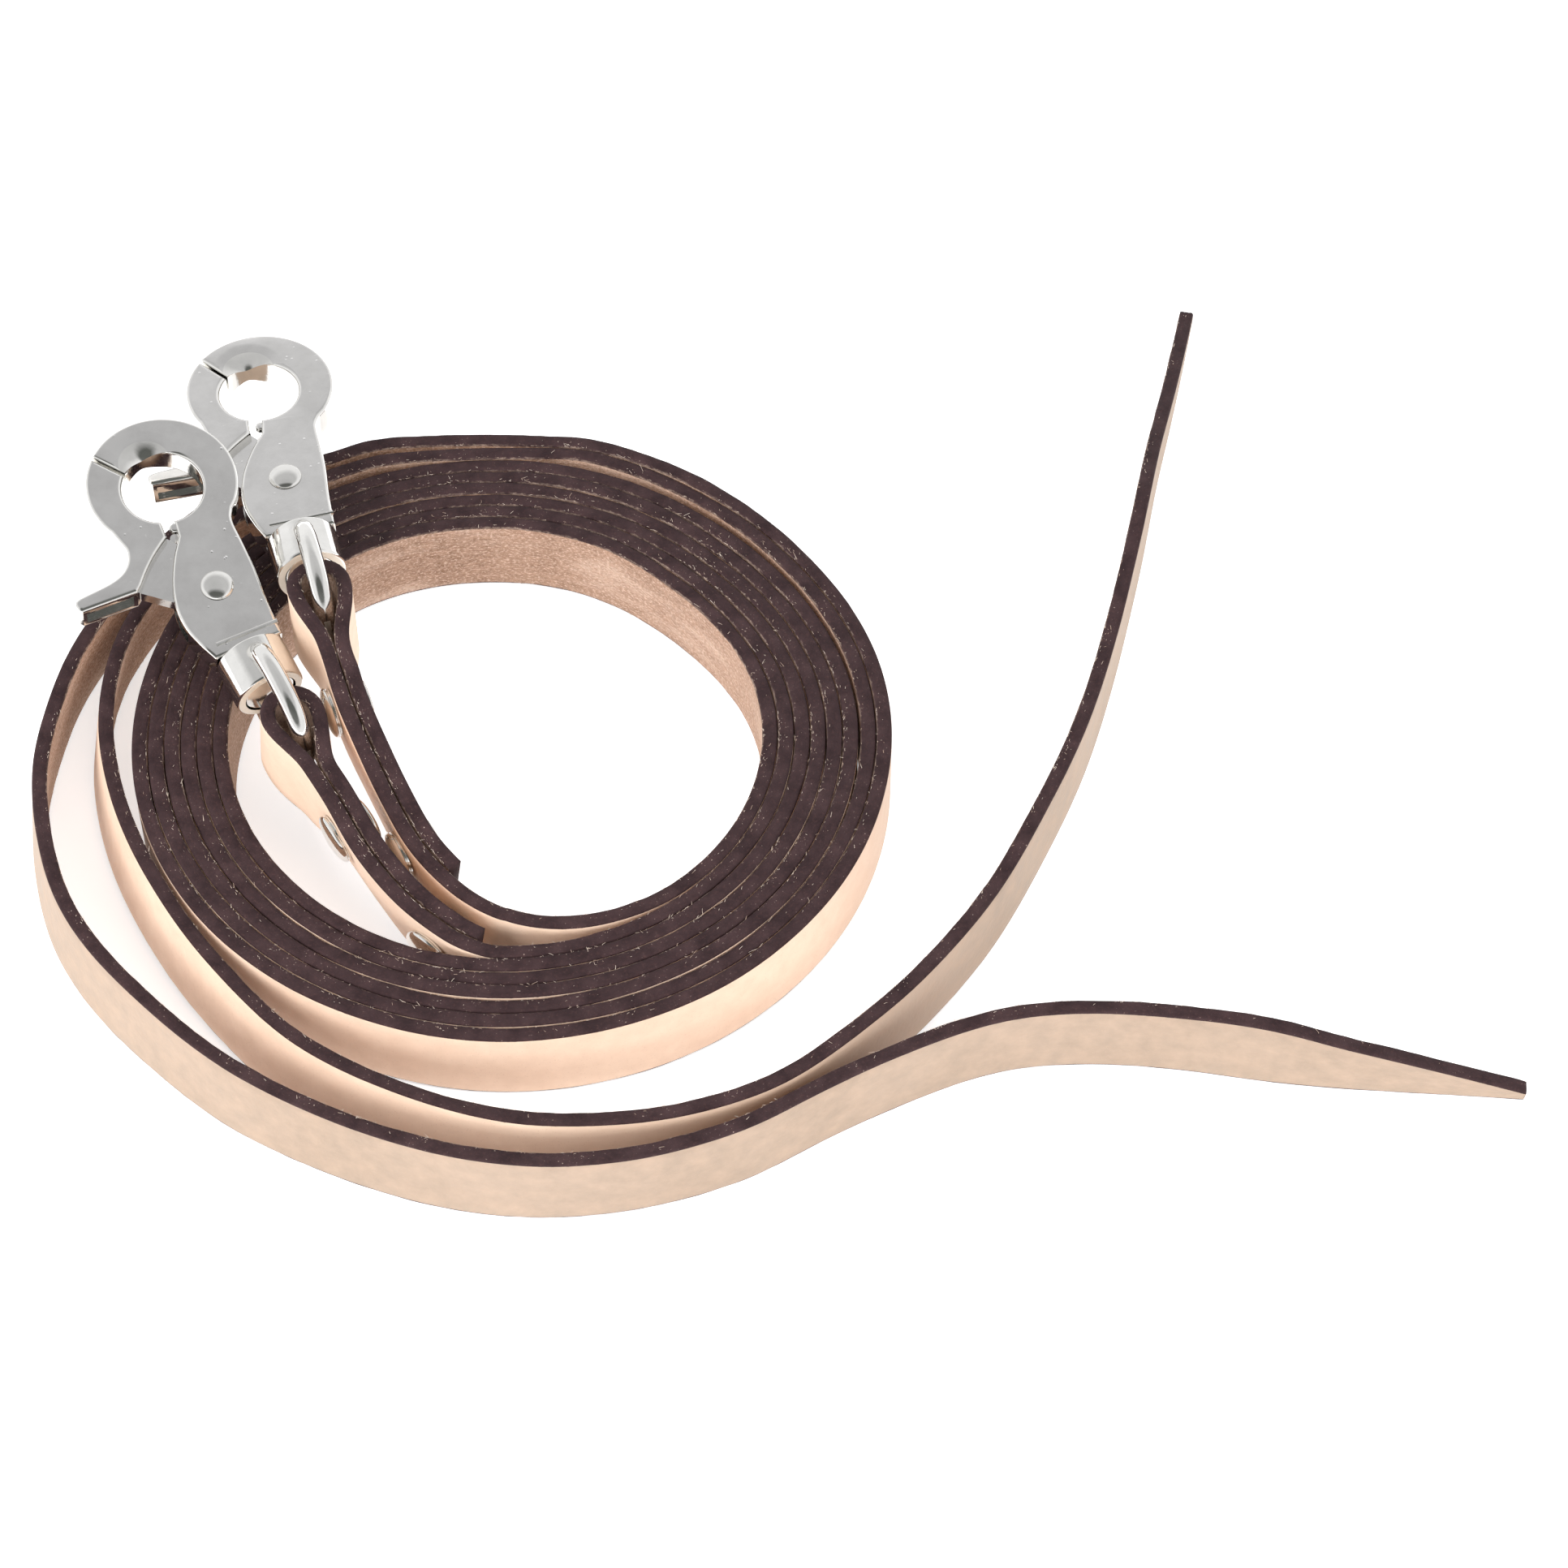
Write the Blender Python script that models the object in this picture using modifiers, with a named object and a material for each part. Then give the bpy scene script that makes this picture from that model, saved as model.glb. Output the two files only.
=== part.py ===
"""Leather reins: two flat straps on edge, wound together, each with a scissor snap riveted on.

Metres, +Z up, the floor at z = 0. Lengths below are in millimetres and are scaled by MM.
The coil is laid out about its own centre, which lies at COIL_CENTRE in the world.
"""

import math

import bmesh
import bpy
import numpy as np
from mathutils import Matrix, Vector

MM = 0.001

# Leather
STRAP_WIDTH = 16.0
STRAP_THICK = 2.6
PLY_PITCH = 2.9  # one strap's middle to the next one's, where they lie side by side
FOLD_PITCH = 3.05  # the same, where one strap is doubled
LOOP_CENTRE, LOOP_RADIUS = -5.5, 4.5  # the bend round the eye's bar, in the snap's plan
LOOP_RUN = 26.0  # from the bend to where the doubled strap comes down at its own slope
TIP_WIDTH = 0.12  # share of the width that is left at the very tip
ROUTE_STEP = 4.0

# Coil, about its own centre. Angles run counter-clockwise from the near side, in turns.
COIL_CENTRE = (-45.5, -9.8)
COIL_RADII = (48.9, 47.8, 44.8, 41.0, 43.7, 47.6, 48.1, 48.4)  # every eighth of a turn
COIL_STEPS = 40  # straight pieces in a turn
GAP_START, GAP_END, GAP_GROWTH = 3.1, 3.5, 2.2  # the two outermost plies stand off here
COIL_END = 3.5

# Scissor snap, along its own length y from the middle of the eye, plate thickness along z
PLATE_HALF = 2.9
EDGE_BEVEL = 0.7
RING_CENTRE = (0.0, 50.5)
RING_RADIUS = 13.9
HOLE_CENTRE = (-0.3, 49.6)
HOLE_RADIUS = 7.4
JAW_ANGLE = 132.0  # where the fixed arm and the lever's jaw meet, from +x
BODY_BOTTOM = 12.8
BODY_FOOT = 6.5
PIVOT = (0.0, 26.4)
PIVOT_SHANK = 1.5
PIVOT_HEAD = 3.05
PIVOT_DOME = 1.0
TANG_HALF = 1.2
SLOT_HALF = 1.5
HUB_RADIUS = 6.0
CHANNEL_HALF = 1.6
FOOT_BAND = (14.6, 16.4)
FOOT_BAND_PROUD = 0.3
PIVOT_PLAY = 0.25
SPRING_WIRE = 0.4
SPRING_RADIUS = 3.3
SPRING_POCKET = 4.3

# Swivel eye
EYE_RADIUS = 10.3
EYE_WIRE = 1.9
EYE_SQUARENESS = 2.6
EYE_BAR = -9.5  # the bar in the strap's fold, on which the eye swings
BARREL_RADIUS = 6.5
BARREL_START, BARREL_END = 3.6, 12.5
BORE_RADIUS = 3.1
COUNTERBORE_RADIUS = 5.1
COUNTERBORE_END = 7.4
STEM_RADIUS = 2.7
STEM_HEAD_RADIUS = 4.7
STEM_HEAD = (3.8, 5.5)
WASHER = (5.8, 7.0)
WASHER_PLAY = 0.3

# Strap rivets
CAP_RADIUS = 4.7
CAP_HEIGHT = 1.9
FLANGE_RADIUS, FLANGE_HEIGHT = 4.0, 0.9
SHANK_RADIUS = 1.6
SHANK_HOLE = 1.95
HOLE_REACH = 8.0
RIVET_GAP = 0.35

LEFT = {
    "name": "left_rein",
    "eye": (-41.4, -2.3, 21.2),
    "turn": 28.5,
    "tilt": 11.5,
    "coil_from": 0.0,
    "coil_shift": PLY_PITCH,
    "rivets": (27.6, 53.0),
    "short_end": 63.5,
    # (x, y, height of the lower edge, lean to the coil's middle), beyond the fold
    "lead": (
        (-29.8, -24.6, 9.3, -8),
        (-23.8, -33.4, 6.6, -12),
        (-16.6, -41.8, 3.6, -10),
        (-8.8, -48.3, 1.2, -5),
        (-3.8, -50.8, 0.3, -2),
    ),
    # (x, y, lean, width), the loose turn and the tail
    "tail": (
        (-24.5, 67.5, 2, 1),
        (-38.0, 63.2, 4, 1),
        (-54.8, 55.0, 6, 1),
        (-68.6, 40.6, 7, 1),
        (-79.8, 19.4, 7, 1),
        (-84.0, 1.5, 7, 1),
        (-84.8, -14.2, 7, 1),
        (-80.4, -34.5, 7, 1),
        (-72.8, -49.2, 7, 1),
        (-60.2, -63.4, 7, 1),
        (-43.6, -77.6, 6, 1),
        (-21.2, -88.6, 4, 1),
        (0.0, -94.4, 2, 1),
        (20.0, -94.1, 0, 1),
        (40.2, -88.0, 0, 1),
        (54.2, -79.8, 0, 1),
        (68.0, -72.4, 0, 1),
        (85.0, -65.4, 0, 1),
        (101.0, -63.4, 0, 1),
        (117.0, -64.4, 0, 1),
        (131.0, -66.8, 0, 1),
        (144.0, -68.3, 0, 0.78),
        (157.0, -69.3, 0, 0.54),
        (169.0, -70.1, 0, 0.30),
        (178.0, -70.8, 0, TIP_WIDTH),
    ),
}
RIGHT = {
    "name": "right_rein",
    "eye": (-36.2, 22.6, 25.0),
    "turn": 15.7,
    "tilt": -1.3,
    "coil_from": 0.1,
    "coil_shift": 0.0,
    "rivets": (25.7, 54.0),
    "short_end": 64.0,
    "lead": (
        (-29.1, -4.8, 12.4, -4),
        (-25.0, -13.2, 9.6, -6),
        (-20.2, -22.4, 6.6, -7),
        (-15.2, -31.0, 3.8, -5),
        (-9.2, -37.8, 1.6, -2),
        (-3.2, -42.2, 0.4, 0),
        (3.2, -44.7, 0.0, 0),
        (10.4, -45.6, 0.0, 0),
        (18.8, -44.2, 0.0, 0),
    ),
    "tail": (
        (-23.6, 63.3, 2, 1),
        (-36.0, 59.4, 4, 1),
        (-51.6, 51.2, 7, 1),
        (-64.8, 37.2, 9, 1),
        (-73.2, 19.0, 10, 1),
        (-74.6, -1.2, 10, 1),
        (-69.6, -21.6, 10, 1),
        (-60.8, -39.4, 10, 1),
        (-50.6, -54.2, 10, 1),
        (-35.8, -70.0, 9, 1),
        (-17.2, -80.6, 7, 1),
        (4.4, -86.6, 4, 1),
        (27.4, -85.6, 2, 1),
        (47.2, -78.6, 0, 1),
        (63.4, -65.6, 0, 1),
        (74.6, -53.4, 0, 1),
        (85.2, -38.2, 0, 1),
        (94.2, -20.2, 0, 1),
        (102.2, -1.0, 0, 1),
        (108.2, 19.0, 0, 1),
        (113.2, 40.0, 0, 1),
        (116.2, 54.0, 0, 1),
        (119.2, 69.6, 0, 0.76),
        (122.8, 85.6, 0, 0.52),
        (126.2, 101.6, 0, 0.30),
        (129.0, 115.6, 0, TIP_WIDTH),
    ),
}
SIDES = (LEFT, RIGHT)

for old in list(bpy.data.objects):
    bpy.data.objects.remove(old, do_unlink=True)

PARTS = bpy.data.collections.new("leather_reins")
CUTTERS = bpy.data.collections.new("cutters")
for group in (PARTS, CUTTERS):
    bpy.context.scene.collection.children.link(group)


def material(name, colour, metallic, roughness):
    made = bpy.data.materials.new(name)
    made.use_nodes = True
    shader = made.node_tree.nodes["Principled BSDF"]
    shader.inputs["Base Color"].default_value = (*colour, 1.0)
    shader.inputs["Metallic"].default_value = metallic
    shader.inputs["Roughness"].default_value = roughness
    made.diffuse_color = (*colour, 1.0)
    return made


LEATHER = material("tooling_leather", (0.80, 0.62, 0.48), 0.0, 0.6)
NICKEL = material("nickel_plate", (0.52, 0.51, 0.49), 1.0, 0.3)
SATIN = material("satin_nickel", (0.44, 0.43, 0.41), 1.0, 0.42)
SPRING_STEEL = material("spring_steel", (0.30, 0.30, 0.31), 1.0, 0.35)


# ---- general helpers ---------------------------------------------------------


def as_part(obj, name, look, place=None):
    """Hand obj over as the named part, at the frame place."""
    obj.name = name
    obj.data.name = name
    obj.data.materials.clear()
    obj.data.materials.append(look)
    if place is not None:
        obj.matrix_world = place @ obj.matrix_world
    PARTS.objects.link(obj)
    return obj


def mesh_from_curve(curve, name, weld=0.00005):
    """The curve as a closed mesh object that is in no collection yet."""
    source = bpy.data.objects.new(name + "_curve", curve)
    bpy.context.scene.collection.objects.link(source)
    bpy.context.view_layer.update()
    state = source.evaluated_get(bpy.context.evaluated_depsgraph_get())
    mesh = bpy.data.meshes.new_from_object(state)
    bpy.data.objects.remove(source, do_unlink=True)
    work = bmesh.new()
    work.from_mesh(mesh)
    bmesh.ops.remove_doubles(work, verts=work.verts, dist=weld)
    bmesh.ops.recalc_face_normals(work, faces=work.faces)
    work.to_mesh(mesh)
    work.free()
    return bpy.data.objects.new(name, mesh)


def flat_shape(name, outlines, half, bevel=0.0, level=0.0):
    """A plate cut to the closed outlines, half thick each way, with its edges bevelled."""
    curve = bpy.data.curves.new(name, "CURVE")
    curve.dimensions = "2D"
    curve.fill_mode = "BOTH"
    curve.extrude = (half - bevel) * MM
    curve.bevel_depth = bevel * MM
    curve.bevel_resolution = 0
    curve.offset = -bevel * MM
    for outline in outlines:
        spline = curve.splines.new("POLY")
        spline.points.add(len(outline) - 1)
        for point, (x, y) in zip(spline.points, outline, strict=True):
            point.co = (x * MM, y * MM, 0, 1)
        spline.use_cyclic_u = True
    made = mesh_from_curve(curve, name)
    made.data.transform(Matrix.Translation((0, 0, level * MM)))
    return made


def wire(name, points, radius, closed=False, resolution=2):
    """A round wire along points, in millimetres."""
    curve = bpy.data.curves.new(name, "CURVE")
    curve.dimensions = "3D"
    curve.twist_mode = "MINIMUM"
    curve.bevel_depth = radius * MM
    curve.bevel_resolution = resolution
    curve.use_fill_caps = not closed
    spline = curve.splines.new("POLY")
    spline.points.add(len(points) - 1)
    for point, at in zip(spline.points, points, strict=True):
        point.co = (*(v * MM for v in at), 1)
    spline.use_cyclic_u = closed
    return mesh_from_curve(curve, name)


def turned(name, profile, sides=24):
    """A solid of revolution about z from (radius, height) pairs that start and end on the axis."""
    work = bmesh.new()
    verts = [work.verts.new((r * MM, 0, z * MM)) for r, z in profile]
    edges = [work.edges.new(pair) for pair in zip(verts, verts[1:], strict=False)]
    bmesh.ops.spin(
        work,
        geom=verts + edges,
        cent=(0, 0, 0),
        axis=(0, 0, 1),
        angle=2 * math.pi,
        steps=sides,
        use_merge=True,
    )
    bmesh.ops.remove_doubles(work, verts=work.verts, dist=0.00001)
    bmesh.ops.recalc_face_normals(work, faces=work.faces)
    mesh = bpy.data.meshes.new(name)
    work.to_mesh(mesh)
    work.free()
    return bpy.data.objects.new(name, mesh)


def tube(name, inner, outer, low, high, sides=24):
    """A ring or sleeve about z."""
    profile = [(inner, low), (outer, low), (outer, high), (inner, high), (inner, low)]
    return turned(name, profile, sides)


def along_y(obj):
    """Turn a solid about z into one about y, heights becoming distances along +y."""
    obj.data.transform(Matrix.Rotation(-math.pi / 2, 4, "X"))
    return obj


def combine(obj, other, operation):
    """Apply an exact Boolean of other to obj, with other kept among the cutters."""
    if not other.users_collection:
        CUTTERS.objects.link(other)
    other.hide_render = True
    other.display_type = "WIRE"
    change = obj.modifiers.new(other.name, "BOOLEAN")
    change.operation = operation
    change.solver = "EXACT"
    change.object = other
    return obj


def arc(centre, radius, start, end, steps):
    """Points on a circle from start to end, in degrees."""
    return [
        (centre[0] + radius * math.cos(a), centre[1] + radius * math.sin(a))
        for a in np.radians(np.linspace(start, end, steps + 1))
    ]


def eased(points, per_span=3):
    """A smooth line through points, with per_span steps between each two."""
    p = np.array(points, float)
    p = np.vstack([2 * p[0] - p[1], p, 2 * p[-1] - p[-2]])
    line = []
    for a, b, c, d in zip(p, p[1:], p[2:], p[3:], strict=False):
        for t in np.arange(per_span) / per_span:
            bend = 2 * a - 5 * b + 4 * c - d
            line.append(
                b + 0.5 * t * (c - a) + 0.5 * t * t * bend + 0.5 * t**3 * (3 * b - a - 3 * c + d)
            )
    line.append(p[-2])
    return np.array(line)


def resampled(line, step):
    """The line, with its points step apart in plan."""
    run = np.r_[0, np.cumsum(np.linalg.norm(np.diff(line[:, :2], axis=0), axis=1))]
    count = max(2, round(run[-1] / step))
    at = np.linspace(0, run[-1], count + 1)
    return np.column_stack([np.interp(at, run, line[:, k]) for k in range(line.shape[1])])


# ---- strap routes --------------------------------------------------------------


def coil_radius(turn, shift):
    """How far a strap's middle is from the coil's centre after turn turns."""
    eighths = np.arange(-1, 11)
    ring = np.array(COIL_RADII)[eighths % 8]
    where = (turn % 1) * 8
    k = int(where)
    a, b, c, d = ring[k : k + 4]
    t = where - k
    base = b + 0.5 * t * (c - a + t * (2 * a - 5 * b + 4 * c - d + t * (3 * b - a - 3 * c + d)))
    loose = min(max((turn - GAP_START) / (GAP_END - GAP_START), 0), 1)
    return base + 2 * PLY_PITCH * turn + shift + GAP_GROWTH * loose**2


def snap_frame(side):
    """The snap's frame: origin in the eye's middle, y along the snap, z out of its plate."""
    x, y, z = side["eye"]
    at = Matrix.Translation(Vector((x + COIL_CENTRE[0], y + COIL_CENTRE[1], z)) * MM)
    turn = Matrix.Rotation(math.radians(side["turn"]), 4, "Z")
    return at @ turn @ Matrix.Rotation(math.radians(side["tilt"]), 4, "X")


def fold_route(side):
    """Both legs and the bend round the eye's bar, as (x, y, height, lean, width) rows."""
    leg = [(-FOLD_PITCH / 2, -19.0), (-2.0, -15.8), (-3.2, -12.2), (-4.2, -8.8)]
    bend = arc((0, LOOP_CENTRE), LOOP_RADIUS, 180, 0, 12)
    plan = [(-x, y) for x, y in leg] + bend[::-1] + leg[::-1]
    turn = math.radians(side["turn"])
    x0, y0, z0 = side["eye"]
    drop = side["lead"][0][2] + STRAP_WIDTH / 2 - z0
    rise = math.tan(math.radians(side["tilt"]))
    rows = []
    for x, y in plan:
        along = min(max((LOOP_CENTRE - y) / LOOP_RUN, 0), 1)
        over = math.sqrt(max(1 - (x / LOOP_RADIUS) ** 2, 0)) if y > LOOP_CENTRE else 0
        rows.append(
            (
                x0 + x * math.cos(turn) - y * math.sin(turn),
                y0 + x * math.sin(turn) + y * math.cos(turn),
                z0 + y * rise * (1 - along) + drop * along**1.6,
                side["tilt"] * over + math.copysign(side["lead"][0][3], x) * along**2,
                1,
            )
        )
    return np.array(rows)


def standing_height(lean, width):
    """How high the strap's middle is where its lower edge rests on the floor."""
    a = math.radians(lean)
    return STRAP_WIDTH / 2 * width * math.cos(a) + STRAP_THICK / 2 * math.sin(a)


def strap_route(side):
    """The strap's whole middle line from the short end to the tip, and how long its fold is."""
    half = STRAP_WIDTH / 2
    fold = fold_route(side)
    lead = np.array([(x, y, low + half, lean, 1) for x, y, low, lean in side["lead"]])
    turns = np.arange(side["coil_from"], COIL_END - 0.01, 1 / COIL_STEPS)
    turns = np.round(turns * COIL_STEPS) / COIL_STEPS
    coil = []
    for turn in turns:
        r = coil_radius(turn, side["coil_shift"])
        a = 2 * math.pi * turn
        coil.append((r * math.sin(a), -r * math.cos(a), half, 0, 1))
    coil = np.array(coil)
    tail = np.array([(x, y, standing_height(lean, w), lean, w) for x, y, lean, w in side["tail"]])
    start = eased(np.vstack([fold[-2:], lead, coil[:2]]), 4)[4:-4]
    end = eased(np.vstack([coil[-3:], tail]), 4)[8:]
    outer = np.vstack([resampled(start, 3.0)[1:], coil[1:-1], resampled(end, ROUTE_STEP)])
    # the short end runs beside the first stretch of the long one, on the coil's inner side
    beside = np.vstack([fold[-1:], resampled(start, 3.0)[1:]])
    way = np.gradient(beside[:, :2], axis=0)
    way /= np.linalg.norm(way, axis=1)[:, None]
    run = np.r_[0, np.cumsum(np.linalg.norm(np.diff(beside[:, :2], axis=0), axis=1))] + 19.0
    short = beside.copy()
    short[:, 0] -= FOLD_PITCH * way[:, 1]
    short[:, 1] += FOLD_PITCH * way[:, 0]
    short[:, 3] *= -1
    short = short[(run > 20.0) & (run < side["short_end"])]
    return np.vstack([short[::-1], fold, outer]), beside, run


def strap_frame(beside, run, at):
    """The frame of the doubled strap, at mm from the eye: z out of the smooth face."""
    spot = np.array([np.interp(at, run, beside[:, k]) for k in range(4)])
    ahead = np.array([np.interp(at + 2, run, beside[:, k]) for k in range(3)])
    back = np.array([np.interp(at - 2, run, beside[:, k]) for k in range(3)])
    way = Vector(ahead - back).normalized()
    out = way.cross(Vector((0, 0, 1))).normalized()
    up = out.cross(way)
    lean = Matrix.Rotation(-math.radians(spot[3]), 3, way)
    out, up = lean @ out, lean @ up
    axes = Matrix((way, up, out)).transposed().to_4x4()
    centre = Vector((spot[0] + COIL_CENTRE[0], spot[1] + COIL_CENTRE[1], spot[2])) * MM
    middle = centre - out * (FOLD_PITCH / 2) * MM
    return Matrix.Translation(middle) @ axes


# ---- parts ---------------------------------------------------------------------


def strap(side):
    """One strap standing on edge, folded round its eye, wound into the coil, with its tail."""
    route, beside, run = strap_route(side)
    name = side["name"] + "_strap"
    curve = bpy.data.curves.new(name, "CURVE")
    curve.dimensions = "3D"
    curve.twist_mode = "Z_UP"
    curve.extrude = STRAP_WIDTH / 2 * MM
    spline = curve.splines.new("POLY")
    spline.points.add(len(route) - 1)
    for point, (x, y, z, lean, width) in zip(spline.points, route, strict=True):
        point.co = ((x + COIL_CENTRE[0]) * MM, (y + COIL_CENTRE[1]) * MM, z * MM, 1)
        point.tilt = -math.radians(lean)
        point.radius = width
    made = mesh_from_curve(curve, name)
    thick = made.modifiers.new("thickness", "SOLIDIFY")
    thick.thickness = STRAP_THICK * MM
    thick.offset = 0
    thick.use_even_offset = True
    frames = [strap_frame(beside, run, at) for at in side["rivets"]]
    for number, frame in enumerate(frames, 1):
        profile = [(0, -HOLE_REACH), (SHANK_HOLE, -HOLE_REACH), (SHANK_HOLE, HOLE_REACH), (0, HOLE_REACH)]
        hole = turned(f"{name}_hole_{number}", profile, 12)
        hole.data.transform(frame)
        combine(made, hole, "DIFFERENCE")
    as_part(made, name, LEATHER)
    for number, frame in enumerate(frames, 1):
        rivet(side["name"] + f"_rivet_{number}", frame)
    return made


def rivet(name, frame):
    """A strap rivet in two pieces: a flanged post from inside, a domed cap outside."""
    face = FOLD_PITCH / 2 + STRAP_THICK / 2 + RIVET_GAP
    low, top = -face, face
    post = [
        (0, low - FLANGE_HEIGHT),
        (2.2, low - FLANGE_HEIGHT),
        (3.5, low - 0.65 * FLANGE_HEIGHT),
        (FLANGE_RADIUS, low - 0.2),
        (FLANGE_RADIUS, low),
        (SHANK_RADIUS, low),
        (SHANK_RADIUS, top + 0.8),
        (0, top + 0.8),
    ]
    socket = SHANK_RADIUS + RIVET_GAP
    cap = [
        (0, top + CAP_HEIGHT),
        (1.8, top + 0.93 * CAP_HEIGHT),
        (3.4, top + 0.68 * CAP_HEIGHT),
        (4.4, top + 0.34 * CAP_HEIGHT),
        (CAP_RADIUS, top + 0.1),
        (CAP_RADIUS - 0.1, top),
        (socket, top),
        (socket, top + 0.8 + RIVET_GAP),
        (0, top + 0.8 + RIVET_GAP),
    ]
    as_part(turned(name + "_post", post, 20), name + "_post", NICKEL, frame)
    as_part(turned(name + "_cap", cap, 24), name + "_cap", NICKEL, frame)


def body_outline():
    """The hook body seen from its flat side, counter-clockwise."""
    return [
        (-BODY_FOOT, BODY_BOTTOM),
        (BODY_FOOT, BODY_BOTTOM),
        (7.0, 20.0),
        (7.8, 27.0),
        (8.1, 33.0),
        (8.3, 38.0),
        (9.4, 40.4),
        *arc(RING_CENTRE, RING_RADIUS, -40, JAW_ANGLE, 18),
        *arc(HOLE_CENTRE, HOLE_RADIUS, JAW_ANGLE, -98, 20),
        (-2.0, 38.8),
        (-4.7, 35.0),
        (-7.3, 29.8),
        (-8.6, 25.0),
        (-8.7, 20.5),
        (-7.7, 16.2),
    ]


def lever_outline():
    """The lever's full-thickness part: outer jaw, waist and thumb tail, counter-clockwise."""
    return [
        *arc(RING_CENTRE, RING_RADIUS, JAW_ANGLE + 1.8, 205, 8),
        (-12.1, 42.0),
        (-11.8, 39.6),
        (-13.2, 37.0),
        (-16.4, 35.3),
        (-23.4, 34.5),
        (-24.7, 33.5),
        (-24.4, 31.9),
        (-23.3, 31.4),
        (-13.4, 31.2),
        (-12.2, 32.2),
        (-10.0, 34.6),
        (-7.2, 37.2),
        (-3.9, 39.6),
        *arc(HOLE_CENTRE, HOLE_RADIUS, 244, JAW_ANGLE + 4.0, 10),
    ]


def channel_outlines():
    """What is taken out of the thumb tail's two sides, which leaves a web between two flanges."""
    return (
        [(-23.2, 30.0), (-14.2, 30.0), (-14.2, 32.1), (-23.2, 32.3)],
        [(-23.2, 33.7), (-16.8, 34.4), (-16.8, 37.0), (-23.2, 37.0)],
    )


def tang_outline():
    """The lever's thin part, from its hub round the pivot to the underside of the jaw."""
    hub = arc(PIVOT, HUB_RADIUS, 190, 420, 16)
    return [*hub, (-2.6, 38.4), (-4.6, 41.2), (-9.0, 39.2), (-12.6, 35.0), (-13.2, 32.0)]


def slot_outline():
    """The room in the body for the tang and its hub, open to the lever's side."""
    hub = arc(PIVOT, HUB_RADIUS + 0.5, 215, 420, 16)
    return [*hub, (-1.2, 39.4), (-1.2, 46.0), (-20.0, 46.0), (-20.0, 17.6), (-7.0, 20.4)]


def pivot_hole(name):
    """The cutter for the hole that the lever's pivot goes through."""
    radius, reach = PIVOT_SHANK + PIVOT_PLAY, 2 * PLATE_HALF
    hole = turned(name, [(0, -reach), (radius, -reach), (radius, reach), (0, reach)], 16)
    hole.data.transform(Matrix.Translation((PIVOT[0] * MM, PIVOT[1] * MM, 0)))
    return hole


def hook_body(side, place):
    """Plate, fixed arm and the stem that carries the eye, with the slot for the lever's tang."""
    body = flat_shape(side["name"] + "_hook_body", [body_outline()], PLATE_HALF, EDGE_BEVEL)
    low, high = FOOT_BAND
    left, right = -BODY_FOOT - 0.6, BODY_FOOT + 0.4
    band = [(left, low), (right, low), (right, high), (left - 0.6, high)]
    band = flat_shape("band", [band], PLATE_HALF + FOOT_BAND_PROUD, FOOT_BAND_PROUD)
    combine(body, band, "UNION")
    stem_profile = [
        (0, STEM_HEAD[0]),
        (STEM_HEAD_RADIUS - 0.4, STEM_HEAD[0]),
        (STEM_HEAD_RADIUS, STEM_HEAD[0] + 0.4),
        (STEM_HEAD_RADIUS, STEM_HEAD[1]),
        (STEM_RADIUS, STEM_HEAD[1]),
        (STEM_RADIUS, BODY_BOTTOM + 1.6),
        (0, BODY_BOTTOM + 1.6),
    ]
    combine(body, along_y(turned("stem", stem_profile, 20)), "UNION")
    combine(body, flat_shape("tang_slot", [slot_outline()], SLOT_HALF), "DIFFERENCE")
    combine(body, pivot_hole("pivot_bore"), "DIFFERENCE")
    return as_part(body, side["name"] + "_hook_body", SATIN, place)


def trigger_lever(side, place):
    """Outer jaw with its thumb tail and the thin tang that turns on the pivot."""
    lever = flat_shape("lever", [lever_outline()], PLATE_HALF, EDGE_BEVEL)
    tang = flat_shape("tang", [tang_outline()], TANG_HALF)
    combine(lever, tang, "UNION")
    for number, outline in enumerate(channel_outlines()):
        combine(lever, flat_shape(f"channel_{number}", [outline], CHANNEL_HALF), "DIFFERENCE")
    combine(lever, pivot_hole("lever_bore"), "DIFFERENCE")
    pocket = turned("spring_pocket", [(0, -3), (SPRING_POCKET, -3), (SPRING_POCKET, 0.1), (0, 0.1)], 20)
    pocket.data.transform(Matrix.Translation((PIVOT[0] * MM, PIVOT[1] * MM, 0)))
    combine(lever, pocket, "DIFFERENCE")
    return on_axis(lever, side["name"] + "_trigger_lever", place, (*PIVOT, 0))


def on_axis(obj, name, place, origin):
    """Hand obj over with its origin on its joint's axis, its cutters placed with it."""
    at = Vector(origin) * MM
    obj.data.transform(Matrix.Translation(-at))
    place_cutters(obj, place)
    return as_part(obj, name, NICKEL, place @ Matrix.Translation(at))


def pivot_rivet(side, place):
    """The lever's pivot: a shank with a domed head on each face."""
    face = PLATE_HALF + 0.2
    profile = [
        (0, -face - PIVOT_DOME),
        (1.6, -face - 0.86 * PIVOT_DOME),
        (2.6, -face - 0.45 * PIVOT_DOME),
        (PIVOT_HEAD, -face),
        (PIVOT_SHANK, -face),
        (PIVOT_SHANK, face),
        (PIVOT_HEAD, face),
        (2.6, face + 0.45 * PIVOT_DOME),
        (1.6, face + 0.86 * PIVOT_DOME),
        (0, face + PIVOT_DOME),
    ]
    made = turned(side["name"] + "_pivot_rivet", profile, 20)
    at = place @ Matrix.Translation((PIVOT[0] * MM, PIVOT[1] * MM, 0))
    return as_part(made, side["name"] + "_pivot_rivet", NICKEL, at)


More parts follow.
